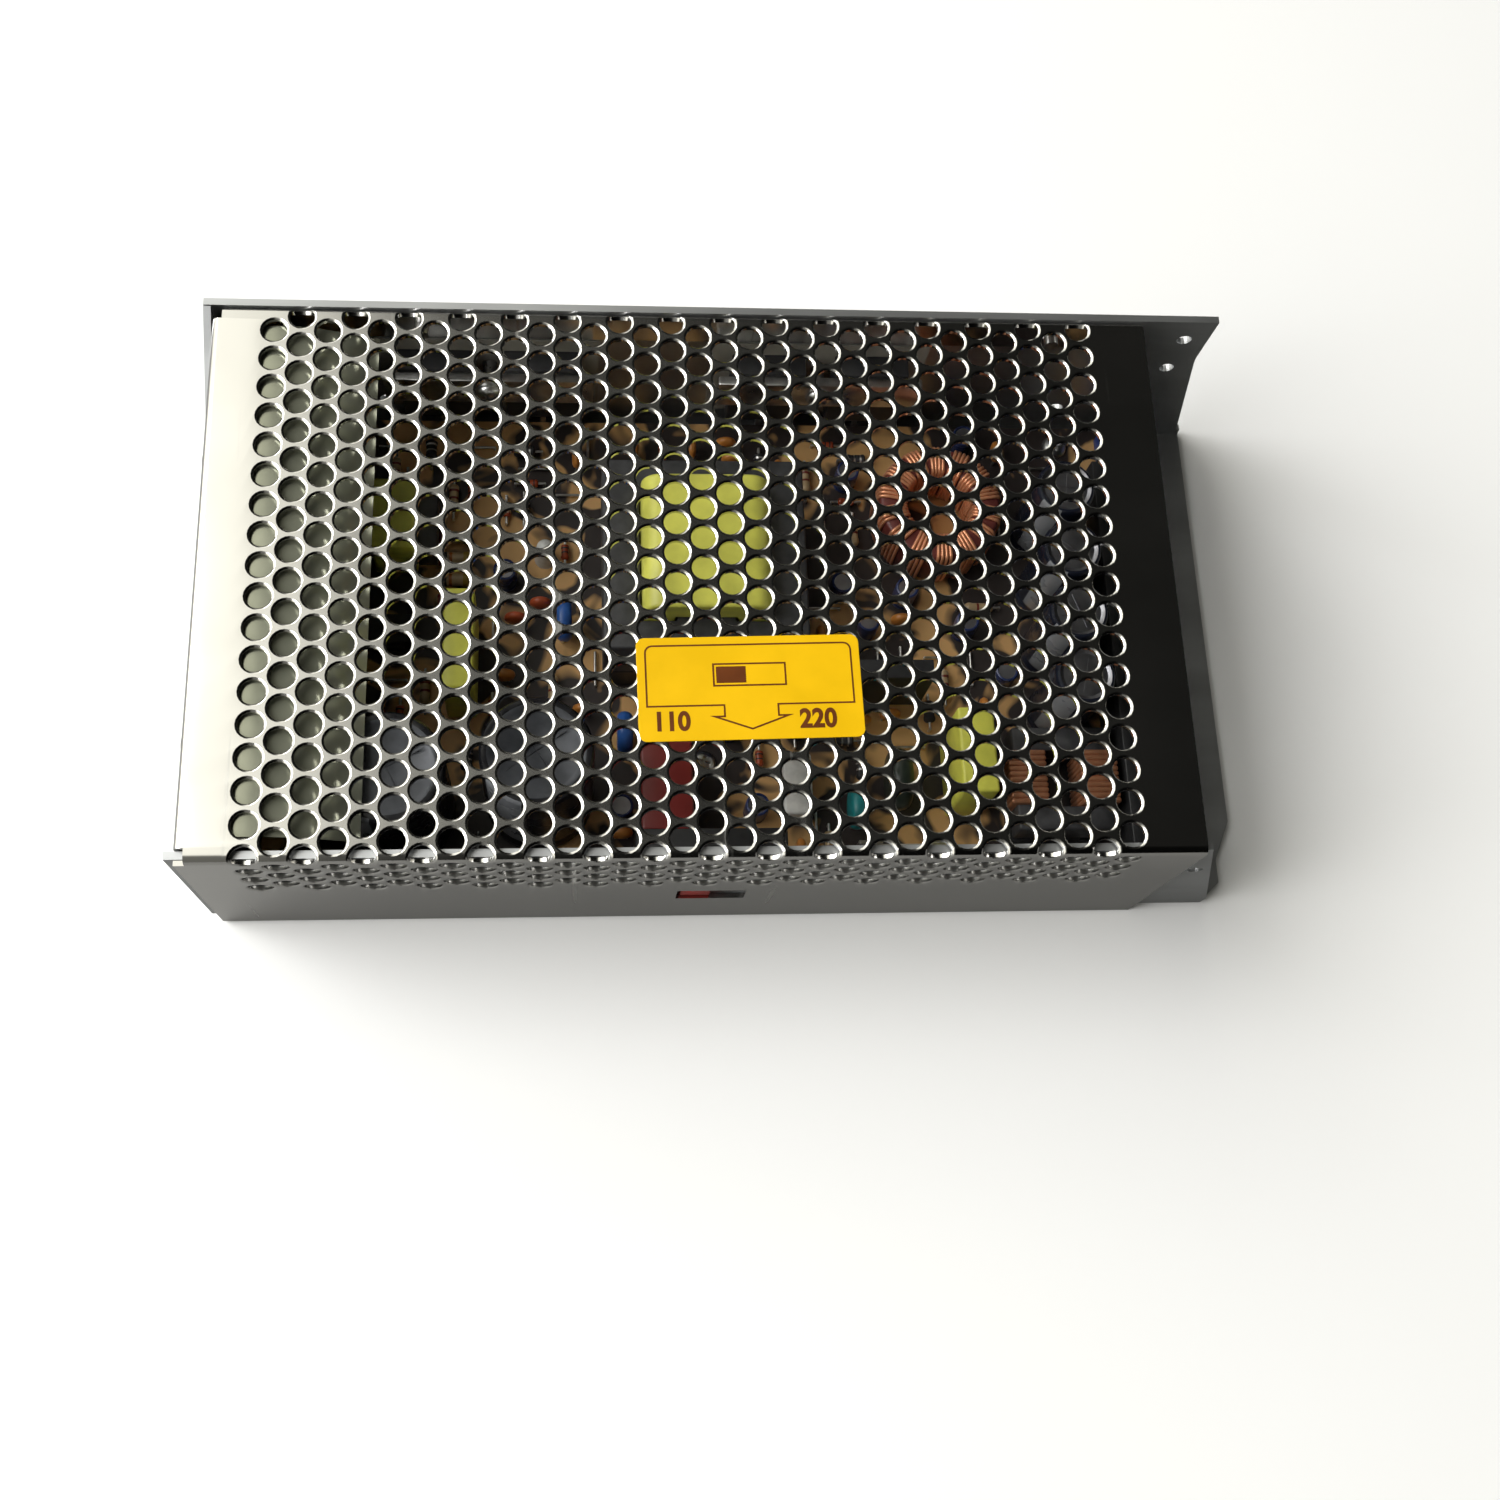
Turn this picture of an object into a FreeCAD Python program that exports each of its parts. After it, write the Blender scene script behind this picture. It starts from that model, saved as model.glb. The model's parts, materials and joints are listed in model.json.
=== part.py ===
import FreeCAD, Part
import math
import os
import re

import Sketcher
from FreeCAD import Placement, Rotation, Vector

# Switching power supply in a folded sheet-metal case, in millimetres.
# The origin is the centre of the case's underside. +X points to the terminal end,
# +Y to the far wall that carries the power transistors, and +Z up.

os.makedirs("parts", exist_ok=True)
doc = FreeCAD.newDocument("power_supply")
sheet = doc.addObject("Spreadsheet::Sheet", "Sizes")

SIZES = [
    # Case
    ("case_length", 215.0),
    ("case_width", 115.0),
    ("case_height", 50.0),
    ("chassis_sheet", 1.5),
    ("cover_sheet", 1.0),
    ("chassis_bend", 2.2),
    ("cover_bend", 1.6),
    ("sheet_gap", 0.1),
    ("cover_end_gap", 0.3),
    ("corner_gap", 0.3),
    ("corner_relief", 2.8),
    # Ends of the chassis walls, each measured back from the terminal end of the base
    ("bay_length", 24.0),
    ("far_wall_setback", 7.5),
    ("far_wall_straight", 15.0),
    ("far_wall_toe", 0.8),
    ("near_wall_setback", 23.0),
    ("near_wall_toe", 8.7),
    ("near_wall_toe_height", 6.0),
    ("base_corner_depth", 19.0),
    ("base_tab_inset", 3.8),
    ("base_tab_depth", 10.5),
    ("base_tab_corner", 4.4),
    ("end_wall_drop", 12.0),
    ("end_wall_rise_run", 26.0),
    # Cover
    ("cover_lift", 0.4),
    ("end_flange_depth", 22.0),
    ("far_lip_depth", 9.0),
    # Vents punched in the cover, staggered, running over the near bend
    ("vent_width", 11.0),
    ("vent_row_pitch", 13.4),
    ("vent_column_pitch", 11.1),
    ("vent_end_margin", 15.2),
    ("vent_far_margin", 8.5),
    ("vent_side_depth", 19.0),
    ("bay_vent_margin", 12.0),
    # Mounting holes: M4 taps in the base and the far wall, plain holes at the bay
    ("mount_tap_radius", 1.65),
    ("mount_spacing_length", 150.0),
    ("mount_spacing_width", 50.0),
    ("side_mount_height", 13.0),
    ("bay_hole_radius", 1.6),
    ("vent_sides", 6),
    ("bay_hole_inset", 5.2),
    ("bay_hole_high_drop", 7),
    ("bay_hole_low_drop", 18.5),
    ("near_bay_hole_shift", 2.6),
    ("near_bay_hole_drop", 17.9),
    # Fasteners
    ("screw_radius", 1.45),
    ("screw_head_radius", 2.8),
    ("screw_head_height", 1.7),
    ("screw_hole_radius", 1.6),
    ("cover_screw_length", 5.0),
    ("cover_screw_drop", 4.5),
    ("cover_screw_spacing", 130.0),
    ("end_screw_inset", 5.5),
    ("end_screw_spacing", 60.0),
    # Insulating sheet, board and standoffs
    ("insulator_thickness", 0.4),
    ("board_bay_gap", 15.0),
    ("board_side_gap", 4.5),
    ("board_thickness", 1.6),
    ("board_end_gap", 4.0),
    ("standoff_height", 5.5),
    ("standoff_flats", 5.5),
    ("film_well_radius", 3.85),
    ("board_hole_inset", 5.0),
    ("board_hole_right_inset", 17.5),
    ("board_hole_near_offset", 42.0),
    # Terminal block
    ("terminal_near_gap", 8.5),
    ("terminal_far_gap", 19.4),
    ("terminal_pitch", 9.5),
    ("terminal_wall", 1.5),
    ("terminal_depth", 16.0),
    ("terminal_back", 5.0),
    ("terminal_step_height", 7.0),
    ("terminal_height", 13.4),
    ("terminal_floor", 2.0),
    ("terminal_setback", 12.5),
    ("clamp_plate_thickness", 1.0),
    ("clamp_plate_gap", 0.4),
    ("terminal_screw_head_radius", 3.0),
    ("terminal_screw_head_height", 2.2),
    # Trimmer and power lamp
    ("trimmer_size", 7.0),
    ("trimmer_height", 5.0),
    ("trimmer_from_wall", 9.5),
    ("trimmer_setback", 19.5),
    ("rotor_radius", 2.4),
    ("rotor_height", 1.2),
    ("rotor_shaft_radius", 1.4),
    ("rotor_shaft_length", 3.6),
    ("rotor_clearance", 0.06),
    ("rotor_slot_width", 0.8),
    ("rotor_slot_depth", 0.6),
    ("lamp_radius", 1.5),
    ("lamp_tip_radius", 1.05),
    ("lamp_height", 5.0),
    ("lamp_gap", 1.6),
    # Voltage selector in the near side
    ("selector_x", -7.5),
    ("selector_height", 20.0),
    ("selector_width", 30.0),
    ("selector_tall", 15.0),
    ("selector_depth", 9.0),
    ("slide_travel", 6.0),
    ("slide_plate_width", 11.0),
    ("slide_plate_tall", 8.0),
    ("slide_plate_depth", 3.0),
    ("slide_gap", 0.3),
    ("knob_width", 6.0),
    ("knob_tall", 5.0),
    ("knob_window_gap", 0.8),
    ("knob_recess", 0.4),
    # Transformer
    ("transformer_x", -7.5),
    ("transformer_y", 11.5),
    ("core_length", 42.0),
    ("core_width", 42.0),
    ("core_thickness", 14.0),
    ("core_leg", 7.6),
    ("core_yoke", 6.0),
    ("core_height_above_board", 8.5),
    ("centre_leg", 12.0),
    ("winding_bottom", 4.2),
    ("winding_height", 25.0),
    ("winding_gap", 0.3),
    ("winding_round", 4.0),
    ("bobbin_height", 4.0),
    ("bobbin_length", 40.0),
    ("bobbin_width", 36.0),
    # Output choke: a ring core with one row of turns
    ("choke_from_end", 62.9),
    ("choke_y", 27.6),
    ("choke_mean_radius", 10.4),
    ("choke_core_width", 5.6),
    ("choke_core_height", 12.0),
    ("choke_turns", 14.0),
    ("choke_turn_width", 2.4),
    ("choke_wire", 1.2),
    ("choke_turn_gap", 0.15),
    # Electrolytic capacitors
    ("bulk_radius", 11.0),
    ("bulk_cover_gap", 6.4),
    ("bulk_one_place", 0.177),
    ("bulk_one_from_side", 20.0),
    ("bulk_two_place", 0.307),
    ("bulk_two_from_side", 23.0),
    ("output_capacitor_radius", 6.25),
    ("output_capacitor_height", 25.0),
    ("output_capacitor_from_end", 38.5),
    ("output_capacitor_from_side", 83.5),
    ("output_capacitor_pitch", 14.0),
    ("small_capacitor_radius", 4.0),
    ("small_capacitor_gap", 2.0),
    ("small_capacitor_near_step", 10.24),
    ("small_capacitor_far_step", 9.6),
    ("small_capacitor_height", 12.0),
    # Box film capacitors
    ("filter_capacitor_from_end", 60.5),
    ("filter_capacitor_from_side", 27.5),
    ("filter_capacitor_width", 7.5),
    ("filter_capacitor_length", 18.0),
    ("filter_capacitor_height", 19.5),
    ("film_capacitor_place", 0.232),
    ("film_capacitor_y", -6.0),
    ("film_capacitor_width", 6.3),
    ("film_capacitor_length", 21.6),
    ("film_capacitor_height", 19.5),
    ("snubber_capacitor_place", 0.426),
    ("snubber_capacitor_from_side", 21.5),
    ("snubber_capacitor_width", 10.6),
    ("snubber_capacitor_length", 18.8),
    ("snubber_capacitor_height", 15.4),
    # Discs that stand on two leads
    ("disc_radius", 4.5),
    ("disc_thickness", 3.2),
    ("disc_standoff", 1.5),
    ("disc_lead", 0.7),
    ("disc_lead_spread", 5.0),
    ("disc_one_place", 0.331),
    ("disc_one_y", 2.9),
    ("disc_two_place", 0.389),
    ("disc_two_y", -22.0),
    ("varistor_from_end", 83.7),
    ("varistor_from_side", 19.0),
    ("thermistor_radius", 6.5),
    ("thermistor_thickness", 4.5),
    ("thermistor_from_end", 75.0),
    ("thermistor_from_side", 24.5),
    # Line filter choke
    ("filter_choke_from_end", 41.5),
    ("filter_choke_from_side", 23.5),
    ("filter_choke_length", 20.0),
    ("filter_choke_width", 22.0),
    ("filter_choke_bar", 5.0),
    ("filter_choke_core_height", 7.0),
    ("filter_choke_lift", 5.0),
    ("filter_choke_winding", 3.0),
    ("filter_choke_base", 2.0),
    # Fuse
    ("fuse_from_end", 73.5),
    ("fuse_from_side", 9.5),
    ("fuse_length", 20.0),
    ("fuse_radius", 2.5),
    ("fuse_cap_length", 5.0),
    ("fuse_clip_wall", 0.5),
    ("fuse_lift", 1.2),
    ("fuse_clip_rise", 3.75),
    # Bridge rectifier, ceramic resistor, driver transformer, controller
    ("bridge_from_end", 79.5),
    ("bridge_y", -13.0),
    ("bridge_length", 22.0),
    ("bridge_lead_pitch", 6.6),
    ("bridge_thickness", 4.0),
    ("bridge_height", 17.0),
    ("bridge_lead_height", 3.0),
    ("ceramic_from_end", 96.0),
    ("ceramic_from_side", 23.8),
    ("ceramic_width", 6.0),
    ("ceramic_length", 13.0),
    ("ceramic_height", 8.0),
    ("driver_place", 0.165),
    ("driver_y", 24.0),
    ("driver_length", 18.0),
    ("driver_width", 16.0),
    ("driver_height", 14.0),
    ("driver_winding_width", 9.0),
    ("driver_core_height", 5.0),
    ("controller_place", 0.137),
    ("controller_y", 2.0),
    ("controller_length", 19.3),
    ("controller_width", 6.4),
    ("controller_height", 3.3),
    ("controller_lift", 0.6),
    # Power semiconductors on the far wall
    ("pad_thickness", 0.3),
    ("pad_length", 46.0),
    ("pad_margin", 2.4),
    ("package_width", 15.6),
    ("package_height", 20.0),
    ("package_thickness", 4.8),
    ("package_spread", 11.0),
    ("package_lead", 1.2),
    ("package_lead_depth", 0.8),
    ("package_lead_pitch", 5.4),
    ("switch_place", 0.258),
    ("rectifier_place", 0.584),
    ("clamp_bar_height", 9.0),
    ("clamp_bar_thickness", 2.0),
    ("clamp_bar_end", 3.0),
    # Small resistors
    ("resistor_radius", 1.6),
    ("resistor_length", 8.0),
    ("resistor_pitch", 5.0),
    ("resistor_count", 4.0),
    ("resistor_place", 0.221),
    ("resistor_y", 24.0),
    # Sticker beside the selector
    ("label_x", -1.4),
    ("label_y", -24.6),
    ("label_length", 42.5),
    ("label_width", 20.6),
    ("label_thickness", 0.15),
    ("label_corner", 1.6),
]

for row, (alias, value) in enumerate(SIZES, start=1):
    sheet.set("A%d" % row, alias)
    sheet.set("B%d" % row, str(value))
    sheet.setAlias("B%d" % row, alias)
doc.recompute()

ALIASES = {alias for alias, _ in SIZES}
NODES = []


def size(text):
    """Work out an expression of sheet names as a number."""
    names = {alias: float(sheet.get(alias)) for alias in set(re.findall(r"[a-z_]+", text)) & ALIASES}
    total = sheet.evalExpression(linked(text)) if names else float(text)
    return float(getattr(total, "Value", total))


def linked(text):
    """Point each sheet name in an expression at the sheet."""
    return re.sub(r"[a-z][a-z_]+", lambda m: "Sizes." + m.group(0) if m.group(0) in ALIASES else m.group(0), text)


def bind(thing, **formulas):
    """Bind properties to the sheet; x, y and z are the placement's base."""
    for name, text in formulas.items():
        path = ".Placement.Base." + name if name in ("x", "y", "z") else name
        thing.setExpression(path, linked(text))
    return thing


def primitive(kind, name, x, y, z, turn=None, **formulas):
    thing = doc.addObject("Part::" + kind, name)
    if turn is not None:
        thing.Placement = Placement(Vector(), turn)
    bind(thing, x=x, y=y, z=z, **formulas)
    return thing


def block(name, centre, spans, bottom, height):
    """A box given by its centre in plan, its two spans, its underside and its height."""
    (cx, cy), (dx, dy) = centre, spans
    return primitive("Box", name, "%s - (%s) / 2" % (cx, dx), "%s - (%s) / 2" % (cy, dy), bottom,
                     Length=dx, Width=dy, Height=height)


def rod(name, x, y, z, radius, height, turn=None, sides=0):
    """A cylinder, or a many-sided bar where a small part repeats."""
    if not sides:
        return primitive("Cylinder", name, x, y, z, turn, Radius=radius, Height=height)
    bar = primitive("Prism", name, x, y, z, turn, Circumradius=radius, Height=height)
    bar.Polygon = sides
    return bar


def bores(name, places, radius, length, turn=None, sides=12):
    """Many-sided holes for screws, each from its point along its turned +Z."""
    return [rod("%s%d" % (name, k), x, y, z, radius, length, turn, sides=sides)
            for k, (x, y, z) in enumerate(places, start=1)]


def cut(name, base, tool):
    thing = doc.addObject("Part::Cut", name)
    thing.Base = base
    thing.Tool = tool
    return thing


def fuse(name, shapes):
    thing = doc.addObject("Part::MultiFuse", name)
    thing.Shapes = shapes
    thing.Refine = True
    return thing


def group(name, shapes):
    thing = doc.addObject("Part::Compound", name)
    thing.Links = shapes
    return thing


def node(thing, label):
    thing.Label = label
    NODES.append(thing)
    return thing


def sketch_on(body, name, plane, offset):
    """A sketch on one of the body's own planes, moved along the plane's normal."""
    drawing = body.newObject("Sketcher::SketchObject", name)
    face = [part for part in body.Origin.OriginFeatures if part.Role == plane][0]
    drawing.AttachmentSupport = (face, [""])
    drawing.MapMode = "FlatFace"
    drawing.setExpression(".AttachmentOffset.Base.z", linked(offset))
    return drawing


def fix_point(drawing, index, spot, x, y):
    """Hold one end of a line or a centre at a place worked out from the sheet."""
    for kind, text in (("DistanceX", x), ("DistanceY", y)):
        number = drawing.addConstraint(Sketcher.Constraint(kind, -1, 1, index, spot, size(text)))
        drawing.setExpression("Constraints[%d]" % number, linked(text))


def outline(body, name, plane, offset, points):
    """A closed outline of straight sides through points given as expressions."""
    drawing = sketch_on(body, name, plane, offset)
    places = [Vector(size(x), size(y), 0) for x, y in points]
    for index, start in enumerate(places):
        drawing.addGeometry(Part.LineSegment(start, places[(index + 1) % len(places)]), False)
    for index in range(len(points)):
        drawing.addConstraint(Sketcher.Constraint("Coincident", index, 2, (index + 1) % len(points), 1))
    for index, (x, y) in enumerate(points):
        fix_point(drawing, index, 1, x, y)
    return drawing


def rectangle(body, name, plane, offset, x_low, y_low, x_high, y_high):
    corners = [(x_low, y_low), (x_high, y_low), (x_high, y_high), (x_low, y_high)]
    return outline(body, name, plane, offset, corners)


def circles(body, name, plane, offset, centres, radius):
    drawing = sketch_on(body, name, plane, offset)
    for index, (x, y) in enumerate(centres):
        drawing.addGeometry(Part.Circle(Vector(size(x), size(y), 0), Vector(0, 0, 1), size(radius)), False)
        fix_point(drawing, index, 3, x, y)
        number = drawing.addConstraint(Sketcher.Constraint("Radius", index, size(radius)))
        drawing.setExpression("Constraints[%d]" % number, linked(radius))
    return drawing


def built(feature):
    """Build the feature and stop if it fails."""
    doc.recompute()
    if "Invalid" in feature.State or feature.Shape.isNull() or not feature.Shape.isValid():
        raise RuntimeError("%s did not build" % feature.Name)
    return feature


def pad(body, drawing, name, length, reverse=False):
    feature = body.newObject("PartDesign::Pad", name)
    feature.Profile = drawing
    feature.Reversed = reverse
    feature.setExpression("Length", linked(length))
    return built(feature)


def pocket(body, drawing, name, length, reverse=False):
    feature = body.newObject("PartDesign::Pocket", name)
    feature.Profile = drawing
    feature.Reversed = reverse
    feature.setExpression("Length", linked(length))
    before = body.Shape.Volume
    built(feature)
    if body.Shape.Volume >= before - 1e-6:
        raise RuntimeError(name + " cuts nothing")
    return feature


def round_edges(body, name, radius, chosen):
    """Round the edges of the body's last feature that the test picks."""
    base = body.Tip
    names = ["Edge%d" % number for number, edge in enumerate(base.Shape.Edges, start=1) if chosen(edge)]
    feature = body.newObject("PartDesign::Fillet", name)
    feature.Base = (base, names)
    feature.setExpression("Radius", linked(radius))
    return built(feature)


def lies_on(edge, **places):
    """True where a straight edge lies in the planes given by x, y or z."""
    box = edge.BoundBox
    spans = {"x": (box.XMin, box.XMax), "y": (box.YMin, box.YMax), "z": (box.ZMin, box.ZMax)}
    return all(abs(end - size(text)) < 1e-4 for axis, text in places.items() for end in spans[axis])


# Places that several pieces share
END_X = "case_length / 2"
FAR_Y = "case_width / 2"
FAR_INSIDE = "(case_width / 2 - chassis_sheet)"
NEAR_OUTSIDE = "(case_width / 2 - cover_sheet - sheet_gap)"
NEAR_INSIDE = "(case_width / 2 - cover_sheet - sheet_gap - chassis_sheet)"
NEAR_TOP = "(case_height - cover_bend - sheet_gap)"
COVER_LEFT = "(case_length / 2 - chassis_sheet - cover_end_gap)"
COVER_RIGHT = "(case_length / 2 - bay_length)"
COVER_FAR = "(case_width / 2 - chassis_sheet - sheet_gap)"
BOARD_RIGHT = "(case_length / 2 - board_bay_gap)"
BOARD_LEFT = "(board_end_gap - case_length / 2)"
BOARD_SIDE = "(case_width / 2 - board_side_gap)"
BOARD_SPANS = (BOARD_RIGHT + " - " + BOARD_LEFT, "2 * " + BOARD_SIDE)
LIP_BOTTOM = "(case_height - far_lip_depth)"
COVER_SCREW_HEIGHT = "(case_height - cover_screw_drop)"
END_SCREW_HEIGHT = "(case_height - end_wall_drop - end_screw_inset)"
TERMINAL_COUNT = ("floor((case_width - terminal_near_gap - terminal_far_gap - terminal_wall)"
                  " / terminal_pitch)")
BOARD_TOP = "(chassis_sheet + standoff_height + board_thickness)"
PACKAGE_BOTTOM = "((%s + %s - package_height) / 2)" % (BOARD_TOP, LIP_BOTTOM)
CLAMP_HEIGHT = "(%s + package_height / 2 + clamp_bar_height / 2)" % PACKAGE_BOTTOM
DOWN = Rotation(Vector(1, 0, 0), 180)
TURN_TO_Y = Rotation(Vector(1, 0, 0), -90)
TURN_TO_X = Rotation(Vector(0, 1, 0), 90)

BOARD_HOLES = [
    (BOARD_LEFT + " + board_hole_inset", BOARD_SIDE + " - board_hole_inset"),
    (BOARD_LEFT + " + board_hole_inset", "board_hole_inset - " + BOARD_SIDE),
    (BOARD_RIGHT + " - board_hole_right_inset", BOARD_SIDE + " - board_hole_inset"),
    (BOARD_RIGHT + " - board_hole_right_inset", "board_hole_inset - " + BOARD_SIDE),
    ("transformer_x", "board_hole_inset + board_hole_near_offset / 2 - " + BOARD_SIDE),
]


def along(piece):
    """A place given as a share of the way from the blind end to the terminal end."""
    return "(case_length * (%s_place - 0.5))" % piece


def from_end(piece):
    """A place measured back from the terminal end of the base."""
    return "(case_length / 2 - %s_from_end)" % piece


def from_side(piece):
    """A place measured in from the near side of the case."""
    return "(%s_from_side - case_width / 2)" % piece


MOUNT_HOLES = [("%smount_spacing_length / 2" % sx, "%smount_spacing_width / 2" % sy)
               for sx in ("", "-") for sy in ("", "-")]


def make_chassis():
    """Base, far wall, near wall and low end wall, folded from one sheet."""
    body = doc.addObject("PartDesign::Body", "Chassis")
    channel = outline(body, "ChannelOutline", "YZ_Plane", "-case_length / 2", [
        ("-" + NEAR_OUTSIDE, "0"),
        (FAR_Y, "0"),
        (FAR_Y, "case_height"),
        (FAR_INSIDE, "case_height"),
        (FAR_INSIDE, "chassis_sheet"),
        ("-" + NEAR_INSIDE, "chassis_sheet"),
        ("-" + NEAR_INSIDE, NEAR_TOP),
        ("-" + NEAR_OUTSIDE, NEAR_TOP)])
    pad(body, channel, "Channel", "case_length")
    round_edges(body, "OutsideBends", "chassis_bend", lambda edge: (
        lies_on(edge, y=FAR_Y, z="0") or lies_on(edge, y="-" + NEAR_OUTSIDE, z="0")))
    round_edges(body, "InsideBends", "chassis_bend - chassis_sheet", lambda edge: (
        lies_on(edge, y=FAR_INSIDE, z="chassis_sheet") or lies_on(edge, y="-" + NEAR_INSIDE, z="chassis_sheet")))

    far = outline(body, "FarWallEnd", "XZ_Plane", "-case_width / 2", [
        ("case_length / 2 + far_wall_toe", "chassis_bend + far_wall_toe"),
        ("case_length / 2 - far_wall_toe", "chassis_bend + far_wall_toe"),
        ("case_length / 2 - far_wall_setback", "case_height - far_wall_straight"),
        ("case_length / 2 - far_wall_setback", "case_height + far_wall_toe"),
        ("case_length / 2 + far_wall_toe", "case_height + far_wall_toe")])
    pocket(body, far, "FarWallEndCut", "chassis_sheet", reverse=True)
    round_edges(body, "FarWallFlare", "far_wall_straight", lambda edge: (
        lies_on(edge, x="case_length / 2 - far_wall_setback", z="case_height - far_wall_straight")))
    near = outline(body, "NearWallEnd", "XZ_Plane", NEAR_INSIDE, [
        ("case_length / 2 + far_wall_toe", "chassis_bend"),
        ("case_length / 2 - near_wall_toe", "chassis_bend"),
        ("case_length / 2 - near_wall_toe", "near_wall_toe_height"),
        ("case_length / 2 - near_wall_setback", "case_height"),
        ("case_length / 2 + far_wall_toe", "case_height")])
    pocket(body, near, "NearWallEndCut", "chassis_sheet", reverse=True)
    corner = outline(body, "BaseCorner", "XY_Plane", "0", [
        ("case_length / 2 - near_wall_toe", "-case_width / 2"),
        ("case_length / 2 + far_wall_toe", "-case_width / 2"),
        ("case_length / 2 + far_wall_toe", "base_corner_depth - case_width / 2"),
        (END_X, "base_corner_depth - case_width / 2"),
        ("case_length / 2 - base_tab_inset", "base_tab_depth - case_width / 2"),
        ("case_length / 2 - base_tab_inset", "base_tab_corner - " + NEAR_OUTSIDE),
        ("case_length / 2 - near_wall_toe", "-" + NEAR_OUTSIDE)])
    pocket(body, corner, "BaseCornerCut", "chassis_bend", reverse=True)

    end = outline(body, "EndWallOutline", "YZ_Plane", "-case_length / 2", [
        ("corner_gap - " + NEAR_INSIDE, "0"),
        (FAR_INSIDE + " - corner_gap", "0"),
        (FAR_INSIDE + " - corner_gap", "case_height"),
        (FAR_INSIDE + " - end_wall_rise_run", "case_height - end_wall_drop"),
        ("corner_gap - " + NEAR_INSIDE, "case_height - end_wall_drop")])
    pad(body, end, "EndWall", "chassis_sheet")
    for name, low, high in (("FarRelief", "case_width / 2 - corner_relief", FAR_Y),
                            ("NearRelief", "-" + NEAR_OUTSIDE, "corner_relief - " + NEAR_OUTSIDE)):
        notch = rectangle(body, name, "XY_Plane", "0", "-case_length / 2", low,
                          "corner_relief - case_length / 2", high)
        pocket(body, notch, name + "Cut", "corner_relief", reverse=True)
    round_edges(body, "EndBend", "chassis_bend", lambda edge: lies_on(edge, x="-case_length / 2", z="0"))
    round_edges(body, "EndInsideBend", "chassis_bend - chassis_sheet", lambda edge: (
        lies_on(edge, x="chassis_sheet - case_length / 2", z="chassis_sheet")))
    round_edges(body, "EndWallSweep", "end_wall_rise_run / 2", lambda edge: (
        lies_on(edge, y=FAR_INSIDE + " - end_wall_rise_run", z="case_height - end_wall_drop")))

    taps = circles(body, "MountTaps", "XY_Plane", "0", MOUNT_HOLES, "mount_tap_radius")
    pocket(body, taps, "Taps", "chassis_sheet", reverse=True)

    side = [("-mount_spacing_length / 2", "side_mount_height"), ("mount_spacing_length / 2", "side_mount_height")]
    side_taps = circles(body, "SideTaps", "XZ_Plane", "-case_width / 2", side, "mount_tap_radius")
    pocket(body, side_taps, "SideTapHoles", "chassis_sheet", reverse=True)
    window(body, "SelectorWindow", NEAR_INSIDE, "chassis_sheet")

    through = "3 * chassis_sheet"
    far_start = FAR_INSIDE + " - chassis_sheet"
    near_start = "-(%s + chassis_sheet)" % NEAR_OUTSIDE
    end_start = "-(case_length / 2 + chassis_sheet)"
    bay_x = "case_length / 2 - far_wall_setback - bay_hole_inset"
    near_bay_x = "case_length / 2 - near_wall_setback + near_bay_hole_shift"
    bay = bores("BayHole", [(bay_x, far_start, "case_height - bay_hole_high_drop"),
                            (bay_x, far_start, "case_height - bay_hole_low_drop"),
                            (near_bay_x, near_start, "case_height - near_bay_hole_drop")],
                "bay_hole_radius", through, TURN_TO_Y, sides=16)
    far = bores("FarScrewHole", [("cover_screw_spacing / 2", far_start, COVER_SCREW_HEIGHT),
                                 ("-cover_screw_spacing / 2", far_start, COVER_SCREW_HEIGHT),
                                 (along("switch"), far_start, CLAMP_HEIGHT),
                                 (along("rectifier"), far_start, CLAMP_HEIGHT)],
                "screw_hole_radius", through, TURN_TO_Y)
    ends = bores("EndScrewHole", [(end_start, "end_screw_spacing / 2", END_SCREW_HEIGHT),
                                  (end_start, "-end_screw_spacing / 2", END_SCREW_HEIGHT)],
                 "screw_hole_radius", through, TURN_TO_X)
    node(cut("Chassis", body, group("ChassisBores", bay + far + ends)), "chassis")


def window(body, name, offset, depth):
    """The opening for the selector's knob, with room for its whole travel."""
    low_x = "selector_x - (knob_width + slide_travel) / 2 - knob_window_gap"
    high_x = "selector_x + (knob_width + slide_travel) / 2 + knob_window_gap"
    low_z = "selector_height - knob_tall / 2 - knob_window_gap"
    high_z = "selector_height + knob_tall / 2 + knob_window_gap"
    drawing = rectangle(body, name, "XZ_Plane", offset, low_x, low_z, high_x, high_z)
    pocket(body, drawing, name + "Cut", depth, reverse=True)


def vent_prism(width, depth):
    """A many-sided punch with the area of a round hole of the given width."""
    sides = int(size("vent_sides"))
    reach = width / 2 * math.sqrt(2 * math.pi / (sides * math.sin(2 * math.pi / sides)))
    corners = [Vector(reach * math.cos(2 * math.pi * k / sides), reach * math.sin(2 * math.pi * k / sides), -depth)
               for k in range(sides)]
    return Part.Face(Part.makePolygon(corners + corners[:1])).extrude(Vector(0, 0, 2 * depth))


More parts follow.
